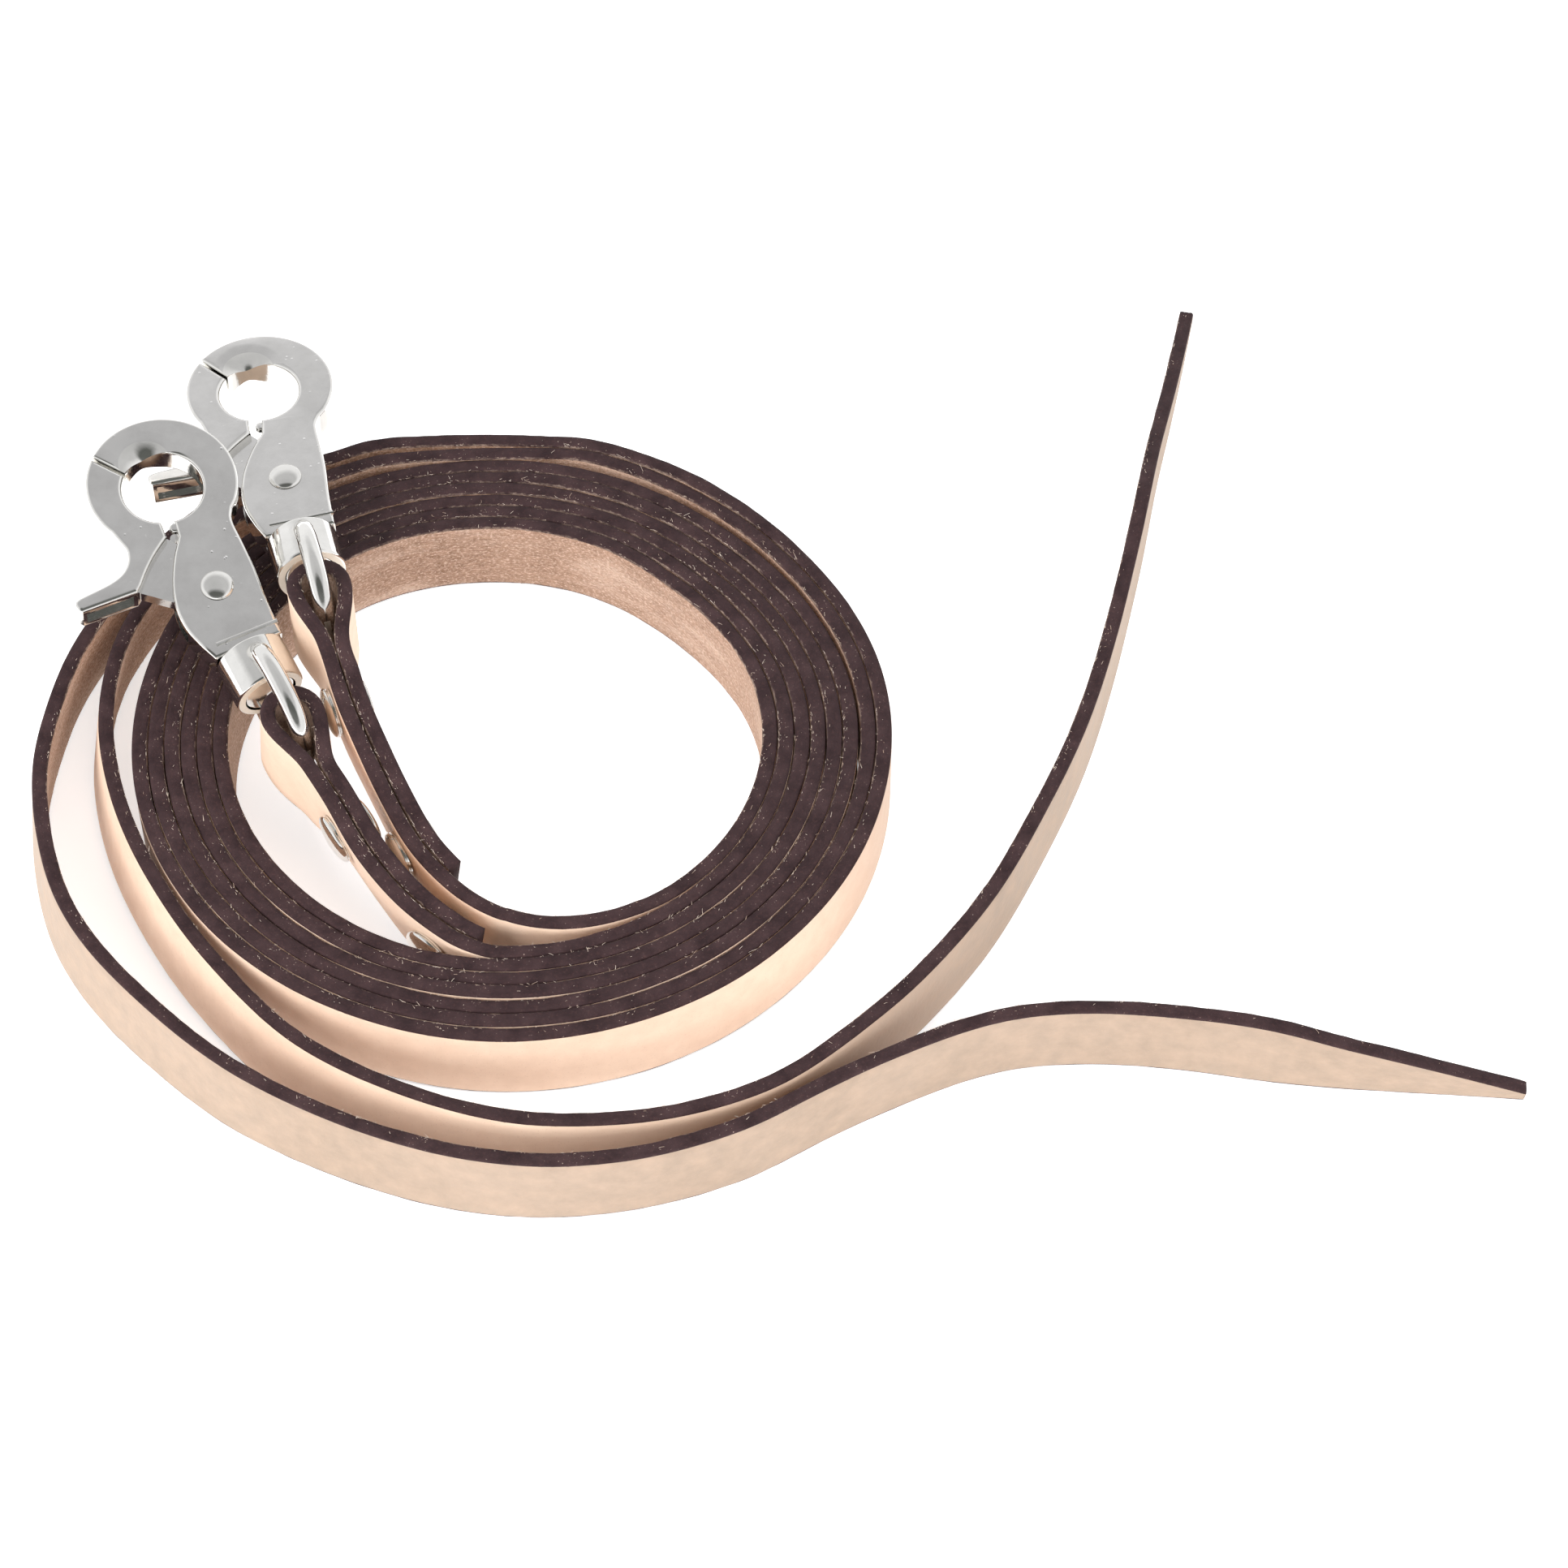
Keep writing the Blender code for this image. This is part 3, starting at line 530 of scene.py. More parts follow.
def turned_end():
    """The barrel's end face, turned and thinly plated, which keeps a warm cream tone."""
    made, tree, shader = new_material("turned_end")
    place = node(tree, "TexCoord").outputs["Object"]
    rings = noise(tree, place, 1400, 3)
    cream = mixed(tree, rings, (0.86, 0.82, 0.74), (0.78, 0.73, 0.64))
    tree.links.new(cream, shader.inputs["Base Color"])
    tree.links.new(spread(tree, rings, 0.3, 0.7, 0.30, 0.45), shader.inputs["Roughness"])
    shader.inputs["Metallic"].default_value = 0.35
    tree.links.new(bumped(tree, rings, 0.2, 0.0001), shader.inputs["Normal"])
    return made


def spring_steel():
    made, tree, shader = new_material("spring_steel_drawn")
    place = node(tree, "TexCoord").outputs["Object"]
    streaks = noise(tree, place, 900, 3)
    tree.links.new(mixed(tree, streaks, (0.36, 0.36, 0.38), (0.22, 0.22, 0.24)), shader.inputs["Base Color"])
    tree.links.new(spread(tree, streaks, 0.3, 0.7, 0.28, 0.42), shader.inputs["Roughness"])
    shader.inputs["Metallic"].default_value = 1.0
    return made


# ---- routes of the straps --------------------------------------------------------


def arc(centre, radius, start, end, steps):
    """Points on a circle from start to end, in degrees."""
    return [
        (centre[0] + radius * math.cos(a), centre[1] + radius * math.sin(a))
        for a in np.radians(np.linspace(start, end, steps + 1))
    ]


def eased(points, per_span=3):
    """A smooth line through points, with per_span steps between each two."""
    p = np.array(points, float)
    p = np.vstack([2 * p[0] - p[1], p, 2 * p[-1] - p[-2]])
    line = []
    for a, b, c, d in zip(p, p[1:], p[2:], p[3:], strict=False):
        for t in np.arange(per_span) / per_span:
            bend = 2 * a - 5 * b + 4 * c - d
            line.append(b + 0.5 * t * (c - a) + 0.5 * t * t * bend + 0.5 * t**3 * (3 * b - a - 3 * c + d))
    line.append(p[-2])
    return np.array(line)


def resampled(line, step, axes=2):
    """The line, with its points step apart in its first axes."""
    run = np.r_[0, np.cumsum(np.linalg.norm(np.diff(line[:, :axes], axis=0), axis=1))]
    count = max(2, round(run[-1] / step))
    at = np.linspace(0, run[-1], count + 1)
    return np.column_stack([np.interp(at, run, line[:, k]) for k in range(line.shape[1])])


def coil_radius(turn, shift):
    """How far a strap's middle is from the coil's centre after turn turns."""
    ring = np.array(COIL_RADII)[np.arange(-1, 11) % 8]
    where = (turn % 1) * 8
    k = int(where)
    a, b, c, d = ring[k : k + 4]
    t = where - k
    base = b + 0.5 * t * (c - a + t * (2 * a - 5 * b + 4 * c - d + t * (3 * b - a - 3 * c + d)))
    loose = min(max((turn - GAP_START) / (GAP_END - GAP_START), 0), 1)
    return base + 2 * PLY_PITCH * turn + shift + GAP_GROWTH * loose**2


def snap_frame(side):
    """The snap's frame: origin in the eye's middle, y along the snap, z out of its plate."""
    x, y, z = side["eye"]
    at = Matrix.Translation(Vector((x + COIL_CENTRE[0], y + COIL_CENTRE[1], z)) * MM)
    turn = Matrix.Rotation(math.radians(side["turn"]), 4, "Z")
    return at @ turn @ Matrix.Rotation(math.radians(side["tilt"]), 4, "X")


def fold_route(side):
    """Both legs and the bend round the eye's bar, as (x, y, height, lean, width) rows."""
    leg = [(-FOLD_PITCH / 2, -LEG_START), (-2.0, -15.8), (-3.2, -12.2), (-4.2, -8.8)]
    bend = arc((0, LOOP_CENTRE), LOOP_RADIUS, 180, 0, 12)
    plan = [(-x, y) for x, y in leg] + bend[::-1] + leg[::-1]
    turn = math.radians(side["turn"])
    x0, y0, z0 = side["eye"]
    drop = side["lead"][0][2] + STRAP_WIDTH / 2 - z0
    rise = math.tan(math.radians(side["tilt"]))
    rows = []
    for x, y in plan:
        along = min(max((LOOP_CENTRE - y) / LOOP_RUN, 0), 1)
        over = math.sqrt(max(1 - (x / LOOP_RADIUS) ** 2, 0)) if y > LOOP_CENTRE else 0
        rows.append(
            (
                x0 + x * math.cos(turn) - y * math.sin(turn),
                y0 + x * math.sin(turn) + y * math.cos(turn),
                z0 + y * rise * (1 - along) + drop * along**1.6,
                side["tilt"] * over + math.copysign(side["lead"][0][3], x) * along**2,
                1,
            )
        )
    return np.array(rows)


def standing_height(lean, width):
    """How high the strap's middle is where its lower edge rests on the floor."""
    a = math.radians(lean)
    return STRAP_WIDTH / 2 * width * math.cos(a) + PACKED_THICK / 2 * math.sin(a)


def strap_route(side):
    """The strap's middle line from the short end to the tip, and the stretch beside the fold."""
    half = STRAP_WIDTH / 2
    fold = fold_route(side)
    lead = np.array([(x, y, low + half, lean, 1) for x, y, low, lean in side["lead"]])
    turns = np.arange(side["coil_from"], COIL_END - 0.01, 1 / COIL_STEPS)
    turns = np.round(turns * COIL_STEPS) / COIL_STEPS
    coil = []
    for turn in turns:
        r = coil_radius(turn, side["coil_shift"])
        a = 2 * math.pi * turn
        coil.append((r * math.sin(a), -r * math.cos(a), half, 0, 1))
    coil = np.array(coil)
    tail = np.array([(x, y, standing_height(lean, w), lean, w) for x, y, lean, w in side["tail"]])
    start = eased(np.vstack([fold[-2:], lead, coil[:2]]), 4)[4:-4]
    end = eased(np.vstack([coil[-3:], tail]), 4)[8:]
    outer = np.vstack([resampled(start, LEAD_STEP)[1:], coil[1:-1], resampled(end, ROUTE_STEP)])
    beside = np.vstack([fold[-1:], resampled(start, LEAD_STEP)[1:]])
    way = np.gradient(beside[:, :2], axis=0)
    way /= np.linalg.norm(way, axis=1)[:, None]
    run = np.r_[0, np.cumsum(np.linalg.norm(np.diff(beside[:, :2], axis=0), axis=1))] + LEG_START
    short = beside.copy()
    short[:, 0] -= FOLD_PITCH * way[:, 1]
    short[:, 1] += FOLD_PITCH * way[:, 0]
    short[:, 3] *= -1
    short = short[(run > SHORT_START) & (run < side["short_end"])]
    return np.vstack([short[::-1], fold, outer]), beside, run


def strap_frame(beside, run, at):
    """The frame of the doubled strap, at mm from the eye: z out of the smooth face."""
    spot = np.array([np.interp(at, run, beside[:, k]) for k in range(4)])
    ahead = np.array([np.interp(at + 2, run, beside[:, k]) for k in range(3)])
    back = np.array([np.interp(at - 2, run, beside[:, k]) for k in range(3)])
    way = Vector(ahead - back).normalized()
    out = way.cross(Vector((0, 0, 1))).normalized()
    up = out.cross(way)
    lean = Matrix.Rotation(-math.radians(spot[3]), 3, way)
    out, up = lean @ out, lean @ up
    axes = Matrix((way, up, out)).transposed().to_4x4()
    centre = Vector((spot[0] + COIL_CENTRE[0], spot[1] + COIL_CENTRE[1], spot[2])) * MM
    middle = centre - out * (FOLD_PITCH / 2) * MM
    return Matrix.Translation(middle) @ axes


# ---- straps ----------------------------------------------------------------------


def unit(rows):
    return rows / np.linalg.norm(rows, axis=1)[:, None]


def softened(values, reach):
    """The values averaged over reach neighbours along their first axis."""
    window = np.hanning(reach + 2)[1:-1]
    window /= window.sum()
    padded = np.pad(values, ((reach // 2, reach - 1 - reach // 2), (0, 0)), mode="edge")
    return np.stack([np.convolve(column, window, mode="valid") for column in padded.T], axis=1)


def unevenness(random, rows, columns, reach, size):
    """Smooth random numbers, size in spread, that change over reach rows."""
    raw = softened(random.standard_normal((rows, columns)), reach)
    return raw / raw.std() * size


def section_outline():
    """Once round the strap's section, as (out, share of the width, beyond it, zone) rows."""
    half = STRAP_THICK / 2
    rows = [(half, k, 0.0, "grain") for k in np.linspace(-1, 1, FACE_STEPS + 1)]
    turns = np.radians(np.linspace(0, 90, CORNER_STEPS + 1))[1:]
    top = [(half - CORNER * (1 - math.cos(a)), 1, CORNER * math.sin(a), "edge") for a in turns]
    inner = half - CORNER
    flat = np.linspace(inner, -inner, EDGE_STEPS + 1)[1:-1]
    top += [(x, 1, CORNER + EDGE_CROWN * (1 - (x / inner) ** 2), "edge") for x in flat]
    top += [(-half + CORNER * (1 - math.cos(a)), 1, CORNER * math.sin(a), "edge") for a in turns[::-1]]
    rows += top
    rows += [(-half, k, 0.0, "flesh") for k in np.linspace(1, -1, FACE_STEPS + 1)]
    rows += [(x, -1, -beyond, zone) for x, _, beyond, zone in top[::-1]]
    return rows


def strap_lines(side, random):
    """The fine middle line in metres, and its way, out and up directions, widths."""
    route, _, _ = strap_route(side)
    line = resampled(eased(route, 6), SECTION_STEP, 3)
    folded = int(FOLDED_RUN / SECTION_STEP)
    slack = softened(line, SOFT_COIL)
    line = softened(line, SOFT_FOLD)
    line[folded:] = slack[folded:]
    rise = unevenness(random, len(line), 1, LIFT_REACH, 1.0)[:, 0]
    settled = np.clip((np.arange(len(line)) - folded) / LIFT_REACH, 0, 1)
    line[:, 2] += LIFT * np.clip(0.5 + 0.5 * rise, 0, 1.6) * settled * line[:, 4]
    centre = (line[:, :3] + (*COIL_CENTRE, 0)) * MM
    way = unit(np.gradient(centre, axis=0))
    out = unit(np.cross(way, (0, 0, 1)))
    up = np.cross(out, way)
    lean = np.radians(line[:, 3])[:, None]
    out, up = out * np.cos(lean) + up * np.sin(lean), up * np.cos(lean) - out * np.sin(lean)
    return centre, way, out, up, line[:, 4]


def strap_mesh(name, centre, out, up, width, shaded_tail_run, random):
    """One closed strap, with its faces, edges and the values its materials read."""
    outline = section_outline()
    count, around = len(centre), len(outline)
    lateral = np.array([row[0] for row in outline])
    share = np.array([row[1] for row in outline], float)
    beyond = np.array([row[2] for row in outline])
    zones = [row[3] for row in outline]
    rough = unevenness(random, count, around, 7, 0.022) + unevenness(random, count, around, 2, 0.014)
    wander = unevenness(random, count, 1, 25, 0.05)
    ply = np.array([1.0 if zone == "edge" else 0.8 if zone == "flesh" else 0.15 for zone in zones])
    half = STRAP_WIDTH / 2 * width[:, None] - CORNER
    across = share * half + beyond * np.where(share == 0, 0, 1)
    upper = np.clip(share, 0, 1) ** 4
    across = across + upper * (wander + np.where(np.array(zones) == "edge", rough, 0))
    sideways = lateral * np.ones((count, 1)) + np.sign(lateral) * np.minimum(rough * ply, 0.05)
    offsets = out[:, None, :] * sideways[:, :, None] + up[:, None, :] * across[:, :, None]
    verts = centre[:, None, :] + offsets * MM
    corner = np.arange(count * around).reshape(count, around)
    right = np.roll(corner, -1, axis=1)
    quads = np.stack([corner[:-1], right[:-1], right[1:], corner[1:]], axis=-1).reshape(-1, 4)
    faces = [tuple(q) for q in quads.tolist()]
    faces += [tuple(corner[0][::-1].tolist()), tuple(corner[-1].tolist())]
    mesh = bpy.data.meshes.new(name)
    mesh.from_pydata(verts.reshape(-1, 3).tolist(), [], faces)
    after = zones[1:] + zones[:1]
    kinds = {"grain": 0, "flesh": 1, "edge": 2}
    band = [kinds[a] if a == b else kinds["edge"] for a, b in zip(zones, after, strict=True)]
    indices = band * (count - 1) + [kinds["edge"]] * 2
    mesh.polygons.foreach_set("material_index", indices)
    run = np.r_[0, np.cumsum(np.linalg.norm(np.diff(centre, axis=0), axis=1))]
    outline_height = share * (STRAP_WIDTH / 2 - CORNER) + beyond
    girth = np.r_[0, np.cumsum(np.hypot(np.diff(lateral), np.diff(outline_height)))] * MM
    from_edge = half * (1 - np.abs(share)) + CORNER * 0.6
    add_values(mesh, "from_edge", from_edge * MM * np.where(beyond == 0, 1, 0))
    add_values(mesh, "flesh_side", (0.5 - lateral / STRAP_THICK) * np.ones((count, 1)))
    # painted shade: where, from the rein's tip, the grain goes over to its darker copy
    tail_shading = np.clip((run - run[-1] + shaded_tail_run) / SHADED_TAIL_BLEND, 0, 1)
    add_values(mesh, "tail_share", tail_shading[:, None] * np.ones(around))
    strap_uv = mesh.uv_layers.new(name="strap")
    corners = np.zeros(len(mesh.loops), int)
    mesh.loops.foreach_get("vertex_index", corners)
    uv = np.stack([run[corners // around], girth[corners % around]], axis=1)
    last = (corners % around == 0) & (np.arange(len(corners)) % 4 % 3 != 0)
    uv[last & (np.arange(len(corners)) < 4 * len(quads)), 1] = girth[-1] + 0.0005
    strap_uv.data.foreach_set("uv", uv.ravel())
    mesh.shade_smooth()
    mesh.validate()
    return mesh, run


def add_values(mesh, name, values):
    """A number for each vertex, for a material to read."""
    attribute = mesh.attributes.new(name, "FLOAT", "POINT")
    attribute.data.foreach_set("value", np.asarray(values, np.float32).ravel())


def fibres(name, centre, way, out, up, width, random):
    """Loose fibres along the suede side's two edges, thickest in tufts along the upper one."""
    curve = bpy.data.curves.new(name, "CURVE")
    curve.dimensions = "3D"
    curve.bevel_depth = 0.045 * MM
    curve.bevel_resolution = 0
    curve.use_fill_caps = True
    count = len(centre)
    thick = unevenness(random, count, 1, 9, 1.0)[:, 0]
    chance = np.clip(0.55 + 0.5 * thick, 0.08, 2.5)
    chance[width < 0.5] *= 0.4
    spots = random.choice(count, int(1.35 * count), p=chance / chance.sum())
    for k in np.sort(spots):
        edge = 1 if random.random() < 0.86 else -1
        inward = random.random() ** 2 * 1.4
        spot = centre[k] + way[k] * random.uniform(-0.5, 0.5) * MM
        spot = spot - out[k] * (STRAP_THICK / 2 - 0.12 - (inward if edge > 0 else 0)) * MM
        spot = spot + edge * up[k] * (STRAP_WIDTH / 2 * width[k] - 0.15) * MM
        length = random.uniform(0.15, 0.85) * (1.7 if random.random() < 0.1 else 1) * MM
        aim = way[k] * random.uniform(-1, 1) - out[k] * random.uniform(-0.25, 0.35)
        aim = aim + edge * up[k] * random.uniform(0.1, 0.6)
        aim /= np.linalg.norm(aim)
        curl = way[k] * random.uniform(-0.6, 0.6) + up[k] * random.uniform(-0.7, 0.2)
        spline = curve.splines.new("POLY")
        spline.points.add(3)
        for step, point in enumerate(spline.points):
            t = step / 3
            at = spot + (aim * t + curl * t * t * 0.6) * length
            at[2] = max(at[2], 0.0001)
            point.co = (*at, 1)
            point.radius = 1.1 - 0.6 * t
    made = bpy.data.objects.new(name, curve)
    bpy.context.scene.collection.objects.link(made)
    return made


# ---- metal -----------------------------------------------------------------------


def mesh_object(name, mesh):
    made = bpy.data.objects.new(name, mesh)
    bpy.context.scene.collection.objects.link(made)
    return made


def evaluated_mesh(obj):
    bpy.context.view_layer.update()
    state = obj.evaluated_get(bpy.context.evaluated_depsgraph_get())
    return bpy.data.meshes.new_from_object(state)


def mesh_from_curve(curve, name):
    """The curve as a closed mesh object."""
    source = mesh_object(name + "_curve", curve)
    mesh = evaluated_mesh(source)
    bpy.data.objects.remove(source, do_unlink=True)
    work = bmesh.new()
    work.from_mesh(mesh)
    bmesh.ops.remove_doubles(work, verts=work.verts, dist=0.00002)
    bmesh.ops.recalc_face_normals(work, faces=work.faces)
    work.to_mesh(mesh)
    work.free()
    return mesh_object(name, mesh)


def flat_shape(name, outlines, half, bevel=0.0, level=0.0, steps=4):
    """A plate cut to the closed outlines, half thick each way, with its edges rounded."""
    curve = bpy.data.curves.new(name, "CURVE")
    curve.dimensions = "2D"
    curve.fill_mode = "BOTH"
    curve.extrude = (half - bevel) * MM
    curve.bevel_depth = bevel * MM
    curve.bevel_resolution = steps
    curve.offset = -bevel * MM
    for outline in outlines:
        spline = curve.splines.new("POLY")
        spline.points.add(len(outline) - 1)
        for point, (x, y) in zip(spline.points, outline, strict=True):
            point.co = (x * MM, y * MM, 0, 1)
        spline.use_cyclic_u = True
    made = mesh_from_curve(curve, name)
    made.data.transform(Matrix.Translation((0, 0, level * MM)))
    return made


def wire(name, points, radius, closed=False, resolution=6):
    """A round wire along points, in millimetres."""
    curve = bpy.data.curves.new(name, "CURVE")
    curve.dimensions = "3D"
    curve.twist_mode = "MINIMUM"
    curve.bevel_depth = radius * MM
    curve.bevel_resolution = resolution
    curve.use_fill_caps = not closed
    spline = curve.splines.new("POLY")
    spline.points.add(len(points) - 1)
    for point, at in zip(spline.points, points, strict=True):
        point.co = (*(v * MM for v in at), 1)
    spline.use_cyclic_u = closed
    return mesh_from_curve(curve, name)


def turned(name, profile, sides=64):
    """A solid of revolution about z from (radius, height) pairs, open on the axis or a ring."""
    work = bmesh.new()
    verts = [work.verts.new((r * MM, 0, z * MM)) for r, z in profile]
    edges = [work.edges.new(pair) for pair in zip(verts, verts[1:], strict=False)]
    bmesh.ops.spin(
        work,
        geom=verts + edges,
        cent=(0, 0, 0),
        axis=(0, 0, 1),
        angle=2 * math.pi,
        steps=sides,
        use_merge=True,
    )
    bmesh.ops.remove_doubles(work, verts=work.verts, dist=0.000005)
    bmesh.ops.recalc_face_normals(work, faces=work.faces)
    mesh = bpy.data.meshes.new(name)
    work.to_mesh(mesh)
    work.free()
    return mesh_object(name, mesh)


def moved(obj, x=0.0, y=0.0, z=0.0):
    obj.data.transform(Matrix.Translation((x * MM, y * MM, z * MM)))
    return obj


def along_y(obj):
    """Turn a solid about z into one about y, heights becoming distances along +y."""
    obj.data.transform(Matrix.Rotation(-math.pi / 2, 4, "X"))
    return obj


def combine(obj, other, operation):
    """Add other to obj, or cut it out of obj, and drop other."""
    change = obj.modifiers.new(other.name, "BOOLEAN")
    change.operation = operation
    change.solver = "EXACT"
    change.object = other
    mesh = evaluated_mesh(obj)
    obj.modifiers.clear()
    obj.data = mesh
    bpy.data.objects.remove(other, do_unlink=True)
    return obj


def finished(obj, name, looks, place, body, nodes, sharp=32):
    """Put a metal piece in its place, riding its body, with its faces smoothed and painted."""
    obj.name = name
    obj.data.name = name
    mesh = obj.data
    mesh.materials.clear()
    for look in looks:
        mesh.materials.append(look)
    if len(looks) > 1:
        flat = [int(abs(face.normal.z) < 0.985) for face in mesh.polygons]
        mesh.polygons.foreach_set("material_index", flat)
    else:
        mesh.polygons.foreach_set("material_index", [0] * len(mesh.polygons))
    mesh.shade_smooth()
    mesh.set_sharp_from_angle(angle=math.radians(sharp))
    even = obj.modifiers.new("even_normals", "WEIGHTED_NORMAL")
    even.keep_sharp = True
    mesh.transform(place)
    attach(obj, body)
    if nodes:
        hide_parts(*nodes)
    return obj


def body_outline():
    """The hook body seen from its flat side, counter-clockwise."""
    left = eased([(-2.0, 38.8), (-4.7, 35.0), (-7.3, 29.8), (-8.6, 25.0), (-8.7, 20.5), (-7.7, 16.2)], 4)
    flank = [(7.0, 20.0), (7.8, 27.0), (8.1, 33.0), (8.3, 38.0), (9.4, 40.4)]
    right = eased([(BODY_FOOT, BODY_BOTTOM), *flank], 4)
    return [
        (-BODY_FOOT, BODY_BOTTOM),
        *map(tuple, right),
        *arc(RING_CENTRE, RING_RADIUS, -40, JAW_ANGLE, 60),
        *arc(HOLE_CENTRE, HOLE_RADIUS, JAW_ANGLE, -98, 60),
        *map(tuple, left),
    ]


def lever_outline():
    """The lever's full-thickness part: outer jaw, waist and thumb tail, counter-clockwise."""
    waist = eased([(-12.1, 42.0), (-11.8, 39.6), (-13.2, 37.0), (-16.4, 35.3), (-23.4, 34.5)], 5)
    inner = eased([(-13.4, 31.2), (-12.2, 32.2), (-10.0, 34.6), (-7.2, 37.2), (-3.9, 39.6)], 4)
    return [
        *arc(RING_CENTRE, RING_RADIUS, JAW_ANGLE + 1.8, 205, 26),
        *map(tuple, waist),
        (-24.4, 34.1),
        (-24.7, 33.3),
        (-24.5, 32.1),
        (-23.9, 31.5),
        *map(tuple, inner),
        *arc(HOLE_CENTRE, HOLE_RADIUS, 244, JAW_ANGLE + 4.0, 34),
    ]


def channel_outlines():
    """What is taken out of the thumb tail's two sides, which leaves a web between two flanges."""
    return (
        [(-23.2, 30.0), (-14.2, 30.0), (-14.2, 32.1), (-23.2, 32.3)],
        [(-23.2, 33.7), (-16.8, 34.4), (-16.8, 37.0), (-23.2, 37.0)],
    )


def tang_outline():
    """The lever's thin part, from its hub round the pivot to the underside of the jaw."""
    hub = arc(PIVOT, HUB_RADIUS, 190, 420, 44)
    return [*hub, (-2.6, 38.4), (-4.6, 41.2), (-9.0, 39.2), (-12.6, 35.0), (-13.2, 32.0)]


def slot_outline():
    """The room in the body for the tang and its hub, open to the lever's side."""
    hub = arc(PIVOT, HUB_RADIUS + 0.5, 215, 420, 44)
    return [*hub, (-1.2, 39.4), (-1.2, 46.0), (-20.0, 46.0), (-20.0, 17.6), (-7.0, 20.4)]


def pivot_hole(name):
    """What is bored through a plate or a tang for the pivot rivet."""
    radius = PIVOT_SHANK + BORE_PLAY
    return moved(turned(name, [(0, -5), (radius, -5), (radius, 5), (0, 5)], 32), *PIVOT)


def arm_scoop(name, side):
    """What is taken off the arm round the hole, deepest by the tip, so that its bar is rounded."""
    outer, wide, deep = HOLE_RADIUS + 0.55, SCOOP_WIDE, SCOOP_DEEP
    turns = np.radians(np.linspace(90, 180, 15))
    floor, rise = PLATE_HALF - deep, deep + SCOOP_CLEAR
    curve = [(outer + wide * math.cos(a), floor + rise * math.sin(a)) for a in turns]
    ring = [*curve, (outer - wide, PLATE_HALF + 1), (outer, PLATE_HALF + 1), curve[0]]
    made = turned(name, ring, 96)
    if side < 0:
        made.data.transform(Matrix.Rotation(math.pi, 4, "X"))
    a = math.radians(SCOOP_TOWARD)
    x, y = HOLE_CENTRE
    return moved(made, x + SCOOP_OFF * math.cos(a), y + SCOOP_OFF * math.sin(a))


def hook_body(side, place, looks):
    """Plate, fixed arm and the stem that carries the eye, with the slot for the lever's tang."""
    body = flat_shape("hook_body", [body_outline()], PLATE_HALF, ROUND_OVER)
    for level, word in ((1, "top"), (-1, "bottom")):
        combine(body, arm_scoop("scoop_" + word, level), "DIFFERENCE")
        left, right, y = FOOT_RIDGE
        ridge = wire("ridge_" + word, [(left, y, 0), (right, y, 0)], RIDGE_RADIUS, resolution=3)
        combine(body, moved(ridge, z=level * (PLATE_HALF - RIDGE_SUNK)), "UNION")
    nub = flat_shape("nub", [arc((-1.75, 41.0), 0.95, 0, 350, 20)], PLATE_HALF - 0.35, 0.4, steps=2)
    combine(body, nub, "UNION")
    stem_profile = [
        (0, STEM_HEAD[0]),
        (STEM_HEAD_RADIUS - 0.4, STEM_HEAD[0]),
        (STEM_HEAD_RADIUS - 0.1, STEM_HEAD[0] + 0.1),
        (STEM_HEAD_RADIUS, STEM_HEAD[0] + 0.4),
        (STEM_HEAD_RADIUS, STEM_HEAD[1]),
        (STEM_RADIUS, STEM_HEAD[1]),
        (STEM_RADIUS, BODY_BOTTOM + 1.6),
        (0, BODY_BOTTOM + 1.6),
    ]
    combine(body, along_y(turned("stem", stem_profile, 40)), "UNION")
    combine(body, flat_shape("tang_slot", [slot_outline()], SLOT_HALF), "DIFFERENCE")
    combine(body, pivot_hole("pivot_bore"), "DIFFERENCE")
    node_name = side["name"] + "_hook_body"
    snap = side["name"].split("_")[0] + "_snap"
    return finished(body, side["name"] + "_snap_body", looks, place, snap, [node_name])


def trigger_lever(side, place, looks):
    """Outer jaw with its thumb tail, channelled along its sides, and the tang on the pivot."""
    lever = flat_shape("lever", [lever_outline()], PLATE_HALF, LEVER_ROUND_OVER, steps=4)
    combine(lever, flat_shape("tang", [tang_outline()], TANG_HALF), "UNION")
    for number, outline in enumerate(channel_outlines()):
        combine(lever, flat_shape(f"channel_{number}", [outline], CHANNEL_HALF), "DIFFERENCE")
    combine(lever, pivot_hole("lever_bore"), "DIFFERENCE")
    pocket = turned("spring_pocket", [(0, -3), (SPRING_POCKET, -3), (SPRING_POCKET, 0.1), (0, 0.1)], 40)
    combine(lever, moved(pocket, *PIVOT), "DIFFERENCE")
    node_name = side["name"] + "_trigger_lever"
    body = side["name"].split("_")[0] + "_lever"
    return finished(lever, side["name"] + "_lever", looks, place, body, [node_name])


def pivot_rivet(side, place, look):
    """The lever's pivot: a shank with a domed head on each face."""
    face = PLATE_HALF + 0.05
    turns = np.radians(np.linspace(90, 8, 10))
    dome = [(PIVOT_HEAD * math.cos(a), face + (PIVOT_DOME + 0.15) * math.sin(a)) for a in turns]
    top = [(0, dome[0][1]), *dome[1:], (PIVOT_HEAD, face), (PIVOT_SHANK, face)]
    profile = [(r, -z) for r, z in top] + top[::-1]
    made = moved(turned("pivot", profile, 48), *PIVOT)
    body = side["name"].split("_")[0] + "_snap"
    node_name = side["name"] + "_pivot_rivet"
    return finished(made, side["name"] + "_lever_pivot", [look], place, body, [node_name])


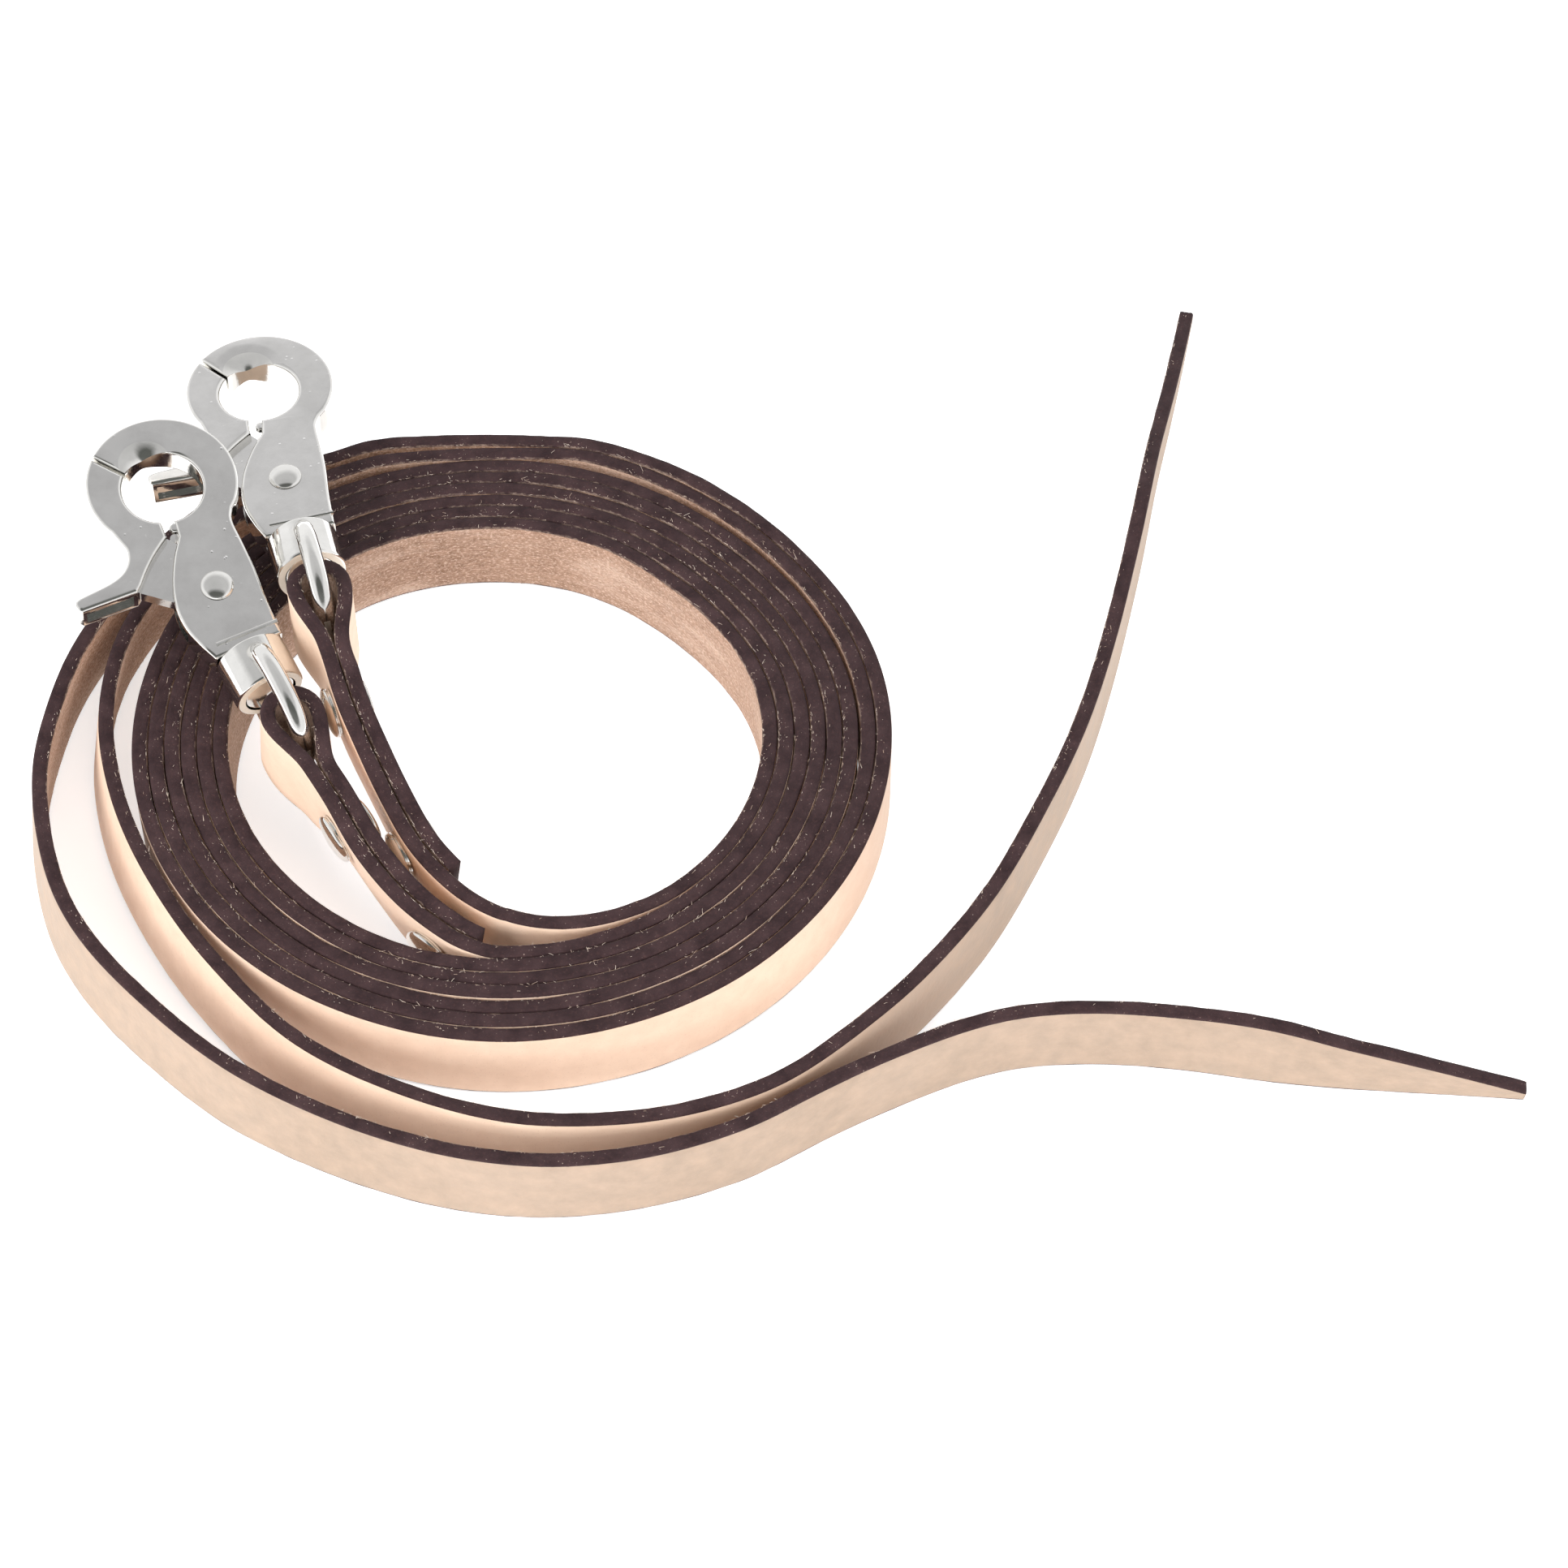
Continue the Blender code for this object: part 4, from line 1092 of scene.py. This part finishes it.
def swivel_eye(side, place, look, end_look):
    """Round eye standing across the plate, with the barrel that turns on the stem."""
    ring = []
    for a in np.radians(np.arange(0, 360, 4)):
        c, s = math.cos(a), math.sin(a)
        power = 2 / EYE_SQUARENESS
        y = EYE_RADIUS * math.copysign(abs(c) ** power, c)
        z = EYE_RADIUS * math.copysign(abs(s) ** power, s)
        ring.append((0, y, z))
    eye = wire("eye", ring, EYE_WIRE, closed=True, resolution=8)
    turns = np.radians(np.linspace(0, 90, 5))
    start = [(BARREL_RADIUS - 0.6 * (1 - math.sin(a)), BARREL_START + 0.6 * (1 - math.cos(a))) for a in turns]
    end = [(BARREL_RADIUS - 0.5 * (1 - math.cos(a)), BARREL_END - 0.5 * (1 - math.sin(a))) for a in turns]
    barrel = turned("barrel", [(0, BARREL_START), *start, *end, (0, BARREL_END)], 72)
    combine(eye, along_y(barrel), "UNION")
    bore = [
        (0, BARREL_START - 1),
        (COUNTERBORE_RADIUS - 0.2, BARREL_START - 1),
        (COUNTERBORE_RADIUS - 0.2, COUNTERBORE_END),
        (BORE_RADIUS, COUNTERBORE_END),
        (BORE_RADIUS, BARREL_END + 1),
        (0, BARREL_END + 1),
    ]
    combine(eye, along_y(turned("barrel_bore", bore, 56)), "DIFFERENCE")
    body = side["name"].split("_")[0] + "_eye"
    node_name = side["name"] + "_swivel_eye"
    made = finished(eye, side["name"] + "_eye", [look], place, body, [node_name], 40)
    made.data.materials.append(end_look)
    outward = -place.col[1].to_3d().normalized()
    ends = [int(face.normal.dot(outward) > 0.97) for face in made.data.polygons]
    made.data.polygons.foreach_set("material_index", ends)
    return made


def rivet(name, frame_at, look):
    """A strap rivet in two pieces: a flanged post from inside, a domed cap outside."""
    face = FOLD_PITCH / 2 + PACKED_THICK / 2 + RIVET_GAP
    low, top = -face, face
    turns = np.radians(np.linspace(90, 12, 9))
    back = [(FLANGE_RADIUS * math.cos(a), low - 0.15 - (FLANGE_HEIGHT - 0.15) * math.sin(a)) for a in turns]
    post = [
        (0, back[0][1]),
        *back[1:],
        (FLANGE_RADIUS, low - 0.1),
        (FLANGE_RADIUS - 0.1, low + 0.2),
        (SHANK_RADIUS, low + 0.2),
        (SHANK_RADIUS, top + 0.8),
        (0, top + 0.8),
    ]
    socket = SHANK_RADIUS + 0.2
    dome = [(CAP_RADIUS * math.cos(a), top + 0.62 + (CAP_HEIGHT - 0.62) * math.sin(a)) for a in turns]
    cap = [
        (0, dome[0][1]),
        *dome[1:],
        (CAP_RADIUS, top + 0.55),
        (CAP_RADIUS - 0.12, top + 0.42),
        (CAP_RADIUS - 0.55, top + 0.36),
        (CAP_RADIUS - 0.55, top + 0.18),
        (CAP_RADIUS - 0.22, top + 0.10),
        (CAP_RADIUS - 0.22, top - 0.20),
        (socket, top - 0.20),
        (socket, top + 0.8 + 0.2),
        (0, top + 0.8 + 0.2),
    ]
    for word, profile in (("post", post), ("cap", cap)):
        made = turned(f"{name}_{word}_shape", profile, 56)
        piece = f"{name}_{word}"
        finished(made, piece + "_fine", [look], frame_at, "straps", [piece], 50)


# ---- the whole object --------------------------------------------------------------

bpy.context.scene.view_settings.view_transform = "Standard"
add_camera()
add_studio()
add_floor()

LEATHERS = (grain_leather(), flesh_leather(), edge_leather())
FIBRE = fibre_leather()
BRIGHT = bright_nickel()
SATIN = satin_nickel()
TURNED = turned_end()
SPRING = spring_steel()
WASHER_LOOK = bright_nickel("dull_nickel", (0.62, 0.61, 0.59))

for number, side in enumerate((LEFT, RIGHT)):
    random = np.random.default_rng(SEED + number)
    centre, way, out, up, width = strap_lines(side, random)
    name = side["name"]
    mesh, run = strap_mesh(name + "_leather", centre, out, up, width, SHADED_TAIL_RUN[number], random)
    strap = mesh_object(name + "_leather", mesh)
    for look in LEATHERS:
        mesh.materials.append(look)
    loose = fibres(name + "_fibres", centre, way, out, up, width, random)
    loose.data.materials.append(FIBRE)
    for piece in (strap, loose):
        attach(piece, "straps")
    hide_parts(name + "_strap")

    place = snap_frame(side)
    _, beside, beside_run = strap_route(side)
    for count, at in enumerate(side["rivets"], 1):
        rivet(f"{name}_rivet_{count}", strap_frame(beside, beside_run, at), BRIGHT)
    hook_body(side, place, [SATIN, BRIGHT])
    trigger_lever(side, place, [SATIN, BRIGHT])
    pivot_rivet(side, place, BRIGHT)
    swivel_eye(side, place, BRIGHT, TURNED)
    for word, look in (("lever_spring", SPRING), ("swivel_washer", WASHER_LOOK)):
        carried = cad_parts[f"{name}_{word}"]
        for holder in carried.material_slots:
            holder.material = look
